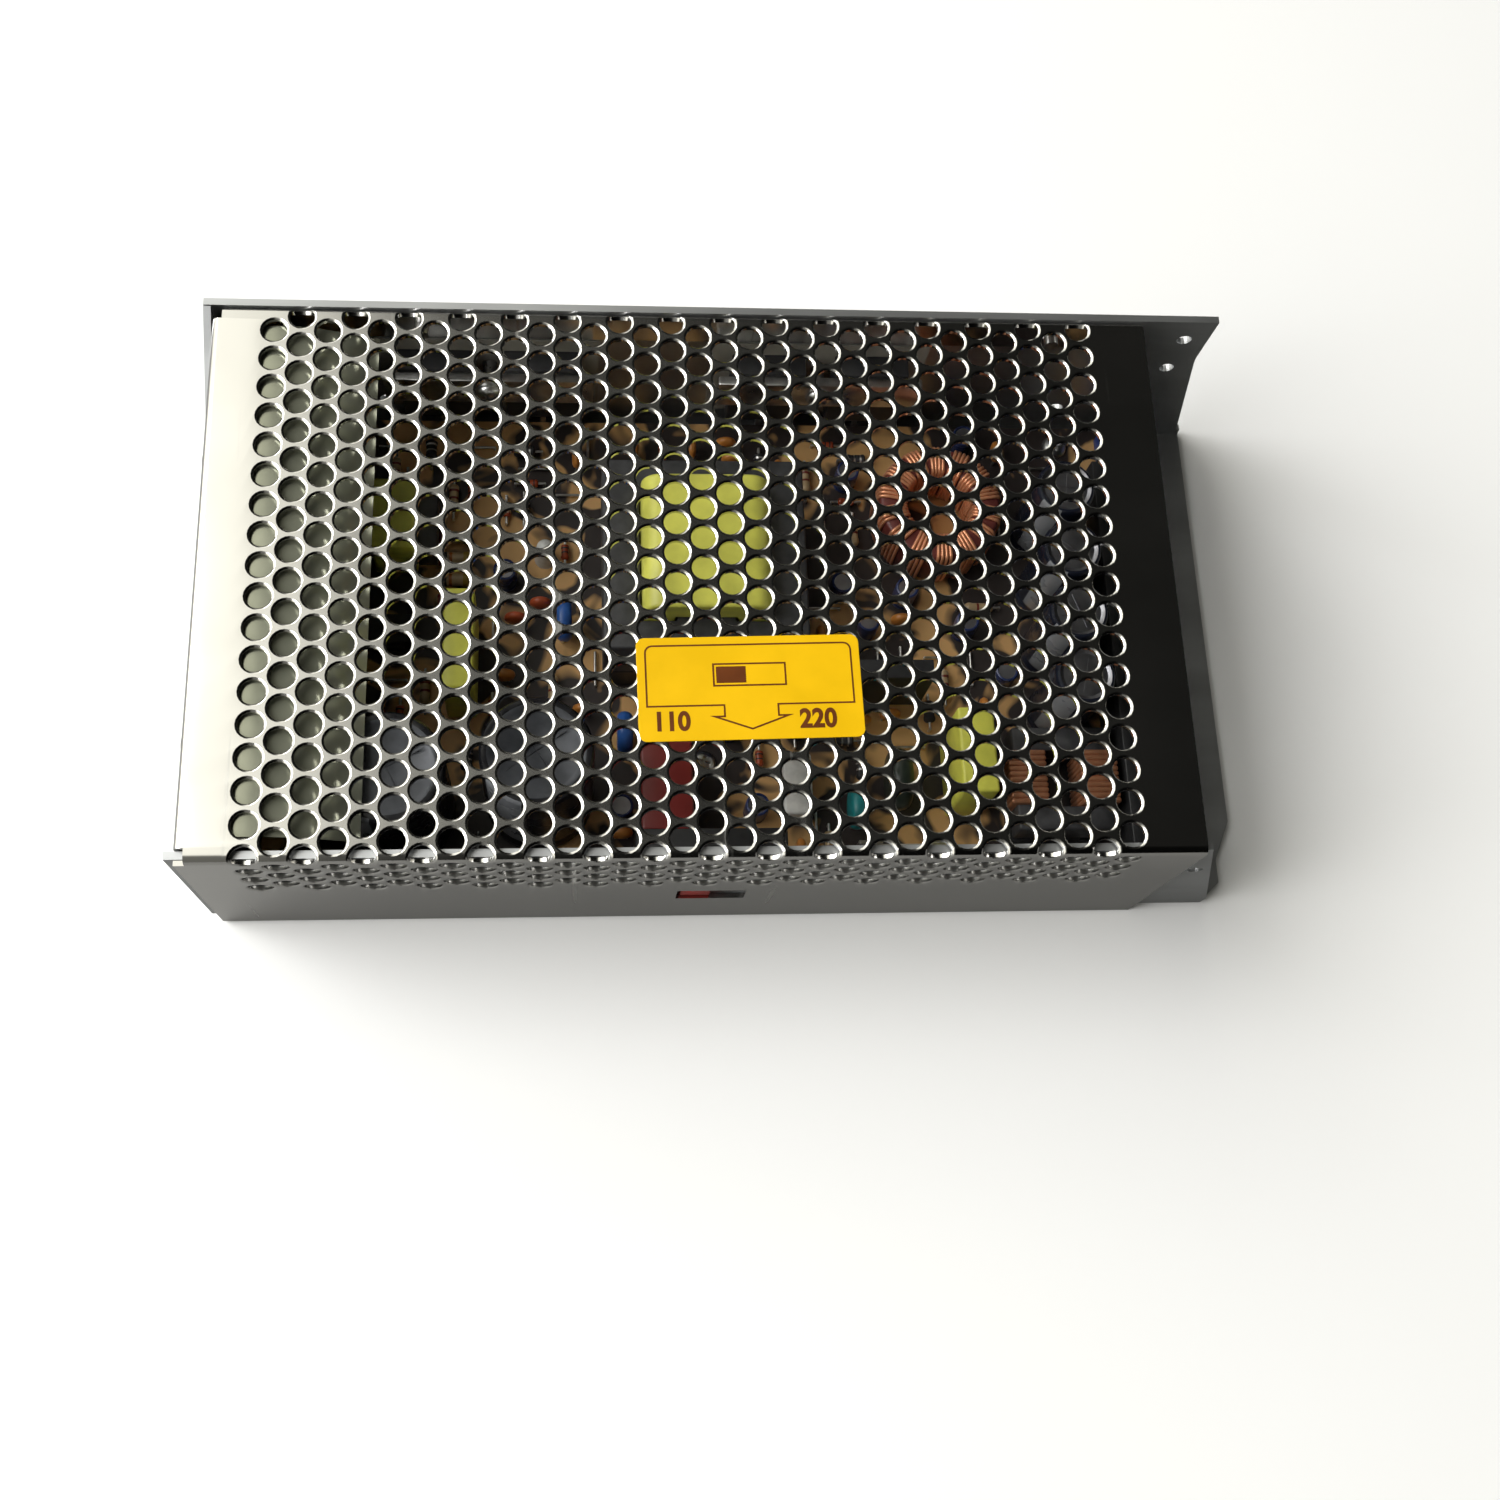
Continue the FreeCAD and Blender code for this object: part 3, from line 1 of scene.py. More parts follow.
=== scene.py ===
import json
import math
import random

import bmesh
import bpy
from mathutils import Matrix, Vector


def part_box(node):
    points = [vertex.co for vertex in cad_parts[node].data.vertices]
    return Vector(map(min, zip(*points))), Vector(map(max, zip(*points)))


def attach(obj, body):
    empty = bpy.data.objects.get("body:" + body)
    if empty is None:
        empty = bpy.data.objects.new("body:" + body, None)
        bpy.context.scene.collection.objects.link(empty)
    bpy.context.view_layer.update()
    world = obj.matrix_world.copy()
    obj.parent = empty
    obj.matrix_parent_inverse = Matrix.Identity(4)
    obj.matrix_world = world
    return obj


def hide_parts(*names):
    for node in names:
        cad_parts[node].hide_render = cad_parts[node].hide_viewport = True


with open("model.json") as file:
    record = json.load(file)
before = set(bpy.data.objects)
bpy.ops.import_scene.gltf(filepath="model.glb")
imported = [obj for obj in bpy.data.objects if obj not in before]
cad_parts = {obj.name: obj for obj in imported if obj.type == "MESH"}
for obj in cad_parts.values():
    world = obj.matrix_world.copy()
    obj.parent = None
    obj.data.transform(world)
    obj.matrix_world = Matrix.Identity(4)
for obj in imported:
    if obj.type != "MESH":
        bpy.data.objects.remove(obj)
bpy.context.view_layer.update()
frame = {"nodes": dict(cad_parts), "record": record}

bl_info = {
    "name": "Enclosed Power Supply",
    "version": (1, 0, 0),
    "blender": (4, 5, 0),
    "location": "3D View > Sidebar > Supply",
    "description": "Dresses the power supply frame: vented cover, board parts, finishes and stage",
    "category": "Object",
}

MM = 0.001
CLOSE = 1e-6
QUARTER_TURN = math.pi / 2

# Radius and height of each ring of a vent's rolled rim, in millimetres
RIM_STEPS = ((2.86, 0.0), (2.68, -0.07), (2.44, -0.26), (2.42, -1.0))
# Vents in one column on the top and on the near side, and columns of each of the two staggered sets
TOP_ROWS, SIDE_ROWS, SET_COLUMNS = 18, 3, 16
FOLD_STEPS = 5
# The slide is 11 long, of which the knob takes 6; the knob stands 5 mm tall
KNOB_SHARE, SLIDE_SHARE, KNOB_TALL = 6, 11, 0.005
SEAM_ABOVE_WINDOW = 1.5 * MM

# How far each fold of the film lies from the blind end and below the cover, in millimetres
FILM_RUN = ((0.0, 5.0), (0.4, 2.2), (1.8, 0.7), (9.0, 0.35), (14.0, 0.6), (19.0, 1.4), (24.0, 2.8), (30.0, 5.2))
FILM_STRIPS = 12

# A print sinks this far into the sticker and is this thick
PRINT_SINK, PRINT_THICK = 0.01 * MM, 0.03 * MM

# Radius and height of a pan head's outline, as shares of its own
PAN_HEAD = ((0.55, 0.97), (0.85, 0.72), (0.985, 0.35), (1.0, 0.12), (0.97, 0.0))

# The output choke's winding
CHOKE_PLACES, CHOKE_STRANDS, WIRE = 14, (-1.5, -0.5, 0.5, 1.5), 0.40 * MM

# Small parts of the board: how many in all, tries to place them, grid, and how often each kind is drawn
BIT_COUNT, BIT_TRIES, BIT_GRID, BIT_DRAWS = 120, 1500, 1.27 * MM, (0, 0, 1, 1, 2, 2, 3, 4, 4, 5)
BIT_LEAD = 0.3 * MM

# The photograph's camera in pixels: focal length, optical centre and side of the frame
FOCAL, CENTRE_X, CENTRE_Y, FRAME_SIDE = 1719.5, 720, 700, 1500

# Brightness of the room from left to right
ROOM_STOPS = ((0.0, 1.60), (0.15, 1.60), (0.19, 1.45), (0.25, 0.64), (0.285, 0.22), (0.33, 0.09), (0.43, 0.050),
              (0.58, 0.024), (0.70, 0.014), (1.0, 0.010))


class CoverSizes(bpy.types.PropertyGroup):
    """Measures of the folded, vented cover."""

    sheet: bpy.props.FloatProperty(
        name="Sheet", description="Thickness of the cover", default=1.0 * MM, unit="LENGTH")
    bend: bpy.props.FloatProperty(
        name="Bend", description="Outside radius of the folds", default=1.6 * MM, unit="LENGTH")
    column_step: bpy.props.FloatProperty(
        name="Column Step", description="Distance between neighbouring columns of vents",
        default=5.246 * MM, unit="LENGTH")
    row_step: bpy.props.FloatProperty(
        name="Row Step", description="Distance between vents in a column", default=6.32 * MM, unit="LENGTH")
    first_column: bpy.props.FloatProperty(
        name="First Column", description="Place of the first column along the case",
        default=-93.30 * MM, unit="LENGTH")
    first_row: bpy.props.FloatProperty(
        name="First Row", description="Place of the first row across the case", default=50.56 * MM, unit="LENGTH")
    side_shift: bpy.props.FloatProperty(
        name="Side Shift", description="Extra step between the fold and the vents of the side",
        default=1.19 * MM, unit="LENGTH")
    end_flange: bpy.props.FloatProperty(
        name="End Flange", description="Depth of the flange at the blind end", default=22.0 * MM, unit="LENGTH")
    far_lip: bpy.props.FloatProperty(
        name="Far Lip", description="Depth of the lip at the far wall", default=9.0 * MM, unit="LENGTH")
    relief: bpy.props.FloatProperty(
        name="Corner Relief", description="Notch where two folds meet", default=2.8 * MM, unit="LENGTH")
    window_gap: bpy.props.FloatProperty(
        name="Window Gap", description="Room round the knob of the selector", default=0.8 * MM, unit="LENGTH")
    travel: bpy.props.FloatProperty(
        name="Knob Travel", description="How far the selector's knob moves", default=6.0 * MM, unit="LENGTH")
    segments: bpy.props.IntProperty(
        name="Vent Segments", description="Sides of each round vent", default=20, min=12, max=48)


class LabelSizes(bpy.types.PropertyGroup):
    """Measures of the sticker on the cover."""

    turn: bpy.props.FloatProperty(
        name="Turn", description="How far the sticker sits askew", default=math.radians(1.3), subtype="ANGLE")
    frame_inset: bpy.props.FloatProperty(
        name="Frame Inset", description="From the edge to the printed frame", default=1.5 * MM, unit="LENGTH")
    frame_depth: bpy.props.FloatProperty(
        name="Frame Depth", description="Height of the printed frame", default=12.4 * MM, unit="LENGTH")
    frame_line: bpy.props.FloatProperty(
        name="Frame Line", description="Width of the printed lines", default=0.34 * MM, unit="LENGTH")
    frame_corner: bpy.props.FloatProperty(
        name="Frame Corner", description="Radius of the frame's upper corners", default=1.5 * MM, unit="LENGTH")
    digits: bpy.props.FloatProperty(
        name="Digits", description="Height of the printed numbers", default=3.7 * MM, unit="LENGTH")
    number_reach: bpy.props.FloatProperty(
        name="Number Reach", description="From the middle to each number", default=13.8 * MM, unit="LENGTH")
    number_shift: bpy.props.FloatProperty(
        name="Number Shift", description="How far both numbers sit off the middle", default=-1.3 * MM, unit="LENGTH")
    number_lift: bpy.props.FloatProperty(
        name="Number Lift", description="From the lower edge to the middle of a number",
        default=3.7 * MM, unit="LENGTH")
    arrow: bpy.props.FloatProperty(
        name="Arrow", description="Width of the arrow's head", default=15.9 * MM, unit="LENGTH")
    arrow_stem: bpy.props.FloatProperty(
        name="Arrow Stem", description="Width of the arrow's stem", default=10.5 * MM, unit="LENGTH")
    arrow_head: bpy.props.FloatProperty(
        name="Arrow Head", description="Depth of the arrow's head", default=2.9 * MM, unit="LENGTH")
    arrow_tip: bpy.props.FloatProperty(
        name="Arrow Tip", description="From the lower edge to the tip", default=1.9 * MM, unit="LENGTH")
    sign_length: bpy.props.FloatProperty(
        name="Sign Length", description="Width of the switch sign", default=14.0 * MM, unit="LENGTH")


class SupplyColours(bpy.types.PropertyGroup):
    """Colours of the visible parts."""

    plating: bpy.props.FloatVectorProperty(
        name="Plating", description="Bright plated cover", default=(0.66, 0.65, 0.63),
        size=3, subtype="COLOR", min=0, max=1)
    sheet_metal: bpy.props.FloatVectorProperty(
        name="Sheet Metal", description="Chassis sheet", default=(0.56, 0.57, 0.58),
        size=3, subtype="COLOR", min=0, max=1)
    sticker: bpy.props.FloatVectorProperty(
        name="Sticker", description="Yellow film", default=(0.80, 0.47, 0.002),
        size=3, subtype="COLOR", min=0, max=1)
    ink: bpy.props.FloatVectorProperty(
        name="Ink", description="Printed lines", default=(0.13, 0.032, 0.004),
        size=3, subtype="COLOR", min=0, max=1)
    copper: bpy.props.FloatVectorProperty(
        name="Copper", description="Enamelled wire", default=(0.90, 0.40, 0.21),
        size=3, subtype="COLOR", min=0, max=1)
    tape: bpy.props.FloatVectorProperty(
        name="Tape", description="Transformer tape", default=(0.86, 0.85, 0.15),
        size=3, subtype="COLOR", min=0, max=1)
    laminate: bpy.props.FloatVectorProperty(
        name="Laminate", description="Circuit board", default=(0.68, 0.40, 0.16),
        size=3, subtype="COLOR", min=0, max=1)


def settings():
    return bpy.context.scene.supply_cover, bpy.context.scene.supply_label, bpy.context.scene.supply_colours


# Ways of working that every piece shares

def deselect():
    for other in list(bpy.context.selected_objects):
        other.select_set(False)


def alone(thing):
    """Make one object the only selected and active one."""
    deselect()
    thing.select_set(True)
    bpy.context.view_layer.objects.active = thing
    return thing


def edit(thing, kind="VERT"):
    """Enter edit mode with everything selected."""
    alone(thing)
    bpy.ops.object.mode_set(mode="EDIT")
    bpy.ops.mesh.select_mode(type=kind)
    bpy.ops.mesh.select_all(action="SELECT")


def done():
    bpy.ops.object.mode_set(mode="OBJECT")


def outward():
    """Turn every normal outward, in edit mode."""
    bpy.ops.mesh.select_all(action="SELECT")
    bpy.ops.mesh.normals_make_consistent(inside=False)


def extrude(move):
    bpy.ops.mesh.extrude_region_move(TRANSFORM_OT_translate={"value": move})


def pick(thing, kind, test):
    """Select the vertices, edges or faces that the test chooses, in edit mode."""
    bpy.ops.mesh.select_all(action="DESELECT")
    shape = bmesh.from_edit_mesh(thing.data)
    for item in getattr(shape, kind):
        if test(item):
            item.select_set(True)
    bmesh.update_edit_mesh(thing.data)


def fresh(name):
    """Name the object that was just added, with its place in its mesh."""
    thing = bpy.context.active_object
    thing.name = name
    thing.data.name = name
    alone(thing)
    bpy.ops.object.transform_apply(location=True, rotation=True, scale=True)
    return thing


def block(name, low, high):
    deselect()
    middle = [(a + b) / 2 for a, b in zip(low, high)]
    bpy.ops.mesh.primitive_cube_add(size=1, location=middle)
    bpy.context.active_object.scale = [b - a for a, b in zip(low, high)]
    return fresh(name)


def tube(name, centre, radius, length, sides=32, axis="Z"):
    """A solid round bar whose middle is at centre."""
    deselect()
    turn = {"Z": (0, 0, 0), "X": (0, QUARTER_TURN, 0)}[axis]
    bpy.ops.mesh.primitive_cylinder_add(vertices=sides, radius=radius, depth=length, location=centre, rotation=turn)
    return fresh(name)


def drawn(name, points, closed=False):
    """A line drawn point by point, as edges only."""
    deselect()
    bpy.ops.mesh.primitive_plane_add(size=MM)
    thing = fresh(name)
    edit(thing)
    bpy.ops.mesh.merge(type="CENTER")
    bpy.ops.mesh.select_all(action="SELECT")
    bpy.ops.transform.translate(value=points[0])
    for before, after in zip(points, points[1:]):
        step = [b - a for a, b in zip(before, after)]
        bpy.ops.mesh.extrude_vertices_move(TRANSFORM_OT_translate={"value": step})
    if closed:
        ends = {0, len(points) - 1}
        pick(thing, "verts", lambda v: v.index in ends)
        bpy.ops.mesh.edge_face_add()
    done()
    return thing


def turned(name, profile, centre, sides=40, axis="Z"):
    """A round piece spun from a profile of (radius, height) points that starts and ends on its axis."""
    thing = drawn(name, [(r, 0, h) for r, h in profile])
    edit(thing)
    bpy.ops.mesh.spin(steps=sides, angle=2 * math.pi, center=(0, 0, 0), axis=(0, 0, 1))
    bpy.ops.mesh.select_all(action="SELECT")
    bpy.ops.mesh.remove_doubles(threshold=CLOSE)
    outward()
    done()
    turn = {"Z": Matrix(), "X": Matrix.Rotation(QUARTER_TURN, 4, "Y"),
            "Y": Matrix.Rotation(-QUARTER_TURN, 4, "X")}[axis]
    thing.data.transform(Matrix.Translation(centre) @ turn)
    return thing


def smooth(thing, angle=35):
    """Smooth shading with every edge sharper than the angle kept."""
    alone(thing)
    bpy.ops.object.shade_smooth_by_angle(angle=math.radians(angle))
    return thing


def modify(thing, kind, **values):
    """Add a modifier, set it and apply it."""
    alone(thing)
    step = thing.modifiers.new(kind.title(), kind)
    for name, value in values.items():
        setattr(step, name, value)
    bpy.ops.object.modifier_apply(modifier=step.name)
    return thing


def bevel(thing, width, segments, angle=40):
    return modify(thing, "BEVEL", width=width, segments=segments, limit_method="ANGLE",
                  angle_limit=math.radians(angle), use_clamp_overlap=True, harden_normals=False)


def soften(thing, width, segments=2, angle=40):
    """Round the edges that a moulded or folded part has."""
    return smooth(bevel(thing, width, segments, angle))


def repeat(thing, count, step):
    return modify(thing, "ARRAY", count=count, use_relative_offset=False, use_constant_offset=True,
                  constant_offset_displace=step)


def cut(thing, cutters):
    """Take the cutters out of a solid."""
    for cutter in cutters:
        modify(thing, "BOOLEAN", operation="DIFFERENCE", object=cutter, solver="EXACT")
        bpy.data.objects.remove(cutter)
    return thing


def copied(thing, name, move):
    """A copy with its own mesh, moved by a matrix."""
    twin = thing.copy()
    twin.data = thing.data.copy()
    twin.name = name
    twin.data.name = name
    twin.data.transform(move)
    bpy.context.scene.collection.objects.link(twin)
    return twin


def joined(name, things):
    """Join like pieces into one object."""
    alone(things[0])
    for thing in things[1:]:
        thing.select_set(True)
    if len(things) > 1:
        bpy.ops.object.join()
    things[0].name = name
    things[0].data.name = name
    return things[0]


def taken(node, name):
    """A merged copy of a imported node, as a start for a finer piece."""
    source = frame["nodes"][node]
    thing = source.copy()
    thing.data = source.data.copy()
    thing.name = name
    thing.data.name = name
    thing.parent = None
    thing.matrix_world = source.matrix_world.copy()
    bpy.context.scene.collection.objects.link(thing)
    thing.hide_viewport = False
    thing.hide_render = False
    thing.hide_set(False)
    edit(thing)
    bpy.ops.mesh.remove_doubles(threshold=CLOSE)
    bpy.ops.mesh.dissolve_limited(angle_limit=math.radians(1))
    done()
    return thing


def body_of(node):
    """The name of the body that a node moves with."""
    for body, nodes in frame["record"]["behaviour"]["bodies"].items():
        if node in nodes:
            return body
    raise ValueError("no body holds " + node)


def seat(thing, finish, *nodes, hides=True):
    """Give a piece its finish and let it ride with the body of its nodes."""
    if finish is not None:
        thing.data.materials.clear()
        thing.data.materials.append(finish)
    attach(thing, body_of(nodes[0]))
    if hides:
        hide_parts(*nodes)
    return thing


def moulded(node, name, round_by, segments, finish, angle=40):
    """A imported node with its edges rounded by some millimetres, and its finish."""
    return seat(soften(taken(node, name), round_by * MM, segments, angle), finish, node)


def paint(thing, finishes, test):
    """Give several finishes to one piece; the test names the finish of each face by its number."""
    thing.data.materials.clear()
    for finish in finishes:
        thing.data.materials.append(finish)
    for face in thing.data.polygons:
        face.material_index = test(face)


def span(node):
    """The lowest and the highest corner of a node's box."""
    low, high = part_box(node)
    return Vector(low), Vector(high)


def loose_boxes(node):
    """The box of each loose part of a node, in order."""
    thing = taken(node, node + "_measure")
    edit(thing)
    bpy.ops.mesh.separate(type="LOOSE")
    done()
    boxes = []
    for part in list(bpy.context.selected_objects):
        corners = [v.co for v in part.data.vertices]
        low = Vector([min(c[k] for c in corners) for k in range(3)])
        high = Vector([max(c[k] for c in corners) for k in range(3)])
        boxes.append((low, high))
        bpy.data.objects.remove(part)
    return sorted(boxes, key=lambda box: tuple(round(v, 5) for v in box[0]))


# Finishes

def add_node(tree, kind, **values):
    """Add a shader node and set its inputs; an underscore stands for a space in an input's name."""
    made = tree.nodes.new("ShaderNode" + kind)
    for name, value in values.items():
        made.inputs[name.replace("_", " ")].default_value = value
    return made


def find_node(finish, kind):
    return [n for n in finish.node_tree.nodes if n.type == kind][0]


def grained(name, colour, shade, rough, metal=0.0, scale=60.0, stretch=(1, 1, 1), fine=900.0, depth=0.02,
            rough_spread=0.08, contrast=(0.35, 0.65)):
    """A finish whose colour and gloss wander between two tones, with a fine relief."""
    finish = bpy.data.materials.new(name)
    finish.use_nodes = True
    tree = finish.node_tree
    tree.nodes.clear()
    out = add_node(tree, "OutputMaterial")
    shader = add_node(tree, "BsdfPrincipled", Metallic=metal)
    place = add_node(tree, "TexCoord")
    room = add_node(tree, "Mapping", Scale=stretch)
    cloud = add_node(tree, "TexNoise", Scale=scale, Detail=5)
    tone = add_node(tree, "ValToRGB")
    for element, spot, paint_tone in zip(tone.color_ramp.elements, contrast, (shade, colour)):
        element.position = spot
        element.color = (*paint_tone, 1)
    gloss = add_node(tree, "MapRange", To_Min=max(0.02, rough - rough_spread), To_Max=min(1.0, rough + rough_spread))
    pits = add_node(tree, "TexNoise", Scale=fine, Detail=3)
    relief = add_node(tree, "Bump", Strength=0.5, Distance=depth * MM)
    link = tree.links.new
    link(place.outputs["Object"], room.inputs["Vector"])
    link(room.outputs["Vector"], cloud.inputs["Vector"])
    link(room.outputs["Vector"], pits.inputs["Vector"])
    link(cloud.outputs["Fac"], tone.inputs["Fac"])
    link(tone.outputs["Color"], shader.inputs["Base Color"])
    link(cloud.outputs["Fac"], gloss.inputs["Value"])
    link(gloss.outputs["Result"], shader.inputs["Roughness"])
    link(pits.outputs["Fac"], relief.inputs["Height"])
    link(relief.outputs["Normal"], shader.inputs["Normal"])
    link(shader.outputs["BSDF"], out.inputs["Surface"])
    return finish


def plated_cover():
    """Mirror-bright plating with faint wiping marks and scratches."""
    colours = settings()[2]
    finish = grained("plated_cover", colours.plating, [c * 0.93 for c in colours.plating], 0.15, metal=1.0,
                     scale=26.0, stretch=(1, 1.6, 1), fine=140.0, depth=0.012, rough_spread=0.05)
    tree = finish.node_tree
    gloss = find_node(finish, "MAP_RANGE")
    turn = add_node(tree, "Mapping", Rotation=(0, 0, 0.5), Scale=(300, 14, 14))
    hairs = add_node(tree, "TexNoise", Scale=1.0, Detail=4)
    marks = add_node(tree, "MapRange", From_Min=0.66, From_Max=0.78, To_Min=0.0, To_Max=0.22)
    total = add_node(tree, "Math")
    total.operation = "ADD"
    link = tree.links.new
    link(find_node(finish, "TEX_COORD").outputs["Object"], turn.inputs["Vector"])
    link(turn.outputs["Vector"], hairs.inputs["Vector"])
    link(hairs.outputs["Fac"], marks.inputs["Value"])
    link(gloss.outputs["Result"], total.inputs[0])
    link(marks.outputs["Result"], total.inputs[1])
    link(total.outputs["Value"], find_node(finish, "BSDF_PRINCIPLED").inputs["Roughness"])
    return finish


def chassis_sheet():
    colours = settings()[2]
    return grained("chassis_sheet", colours.sheet_metal, [c * 0.82 for c in colours.sheet_metal], 0.42, metal=1.0,
                   scale=70.0, stretch=(0.25, 1, 1), fine=1400.0, depth=0.01, rough_spread=0.07)


# Light tone, dark tone, roughness, metal, scale of the clouds, scale and depth of the fine relief
PLAIN_FINISHES = {
    "zinc_plating": ((0.66, 0.66, 0.65), (0.50, 0.50, 0.50), 0.30, 1.0, 300.0, 2500.0, 0.006),
    "tinned_metal": ((0.72, 0.71, 0.69), (0.52, 0.51, 0.49), 0.34, 1.0, 400.0, 2500.0, 0.008),
    "can_metal": ((0.36, 0.36, 0.38), (0.26, 0.26, 0.28), 0.36, 1.0, 240.0, 2200.0, 0.006),
    "dark_top": ((0.085, 0.09, 0.10), (0.05, 0.053, 0.06), 0.38, 0.4, 160.0, 1500.0, 0.01),
    "black_moulding": ((0.022, 0.022, 0.023), (0.013, 0.013, 0.014), 0.5, 0.0, 180.0, 1800.0, 0.02),
    "package_epoxy": ((0.030, 0.030, 0.032), (0.018, 0.018, 0.020), 0.62, 0.0, 320.0, 2600.0, 0.02),
    "ferrite": ((0.055, 0.055, 0.058), (0.028, 0.028, 0.030), 0.55, 0.0, 260.0, 2000.0, 0.03),
    "powder_core": ((0.17, 0.038, 0.030), (0.10, 0.022, 0.018), 0.42, 0.0, 200.0, 1500.0, 0.03),
}


def plain(name):
    """One of the plain finishes, as a material of its own."""
    colour, shade, rough, metal, scale, fine, depth = PLAIN_FINISHES[name]
    return grained(name, colour, shade, rough, metal=metal, scale=scale, fine=fine, depth=depth)


def copper_wire(name="copper_wire", tone=1.0):
    colours = settings()[2]
    return grained(name, [c * tone for c in colours.copper], [c * tone * 0.7 for c in colours.copper], 0.30,
                   metal=0.45, scale=220.0, fine=1200.0, depth=0.01)


def winding_tape():
    colours = settings()[2]
    return grained("winding_tape", colours.tape, [c * 0.72 for c in colours.tape], 0.33, scale=90.0,
                   stretch=(1, 1, 3), fine=700.0, depth=0.02)


def sleeve(name, colour, shade):
    return grained(name, colour, shade, 0.28, scale=120.0, fine=800.0, depth=0.01)


def board_laminate():
    """Phenolic board with dark patches between its bare ones: partly printed areas, partly painted shade among the
    parts.
    """
    colours = settings()[2]
    # The dark tone of the random patches is partly painted shade among the parts on the board, partly printed areas.
    finish = grained("board_laminate", colours.laminate, (0.030, 0.022, 0.020), 0.5, scale=75.0,
                     fine=1500.0, depth=0.02, contrast=(0.515, 0.575))
    cloud = find_node(finish, "TEX_NOISE")
    cloud.inputs["Detail"].default_value = 2
    cloud.inputs["Distortion"].default_value = 0.6
    return finish


def coating(name, colour):
    return grained(name, colour, [c * 0.7 for c in colour], 0.32, scale=240.0, fine=900.0, depth=0.03)


def plain_case(name, colour):
    return grained(name, colour, [c * 0.8 for c in colour], 0.38, scale=150.0, fine=1200.0, depth=0.015)


# Pieces

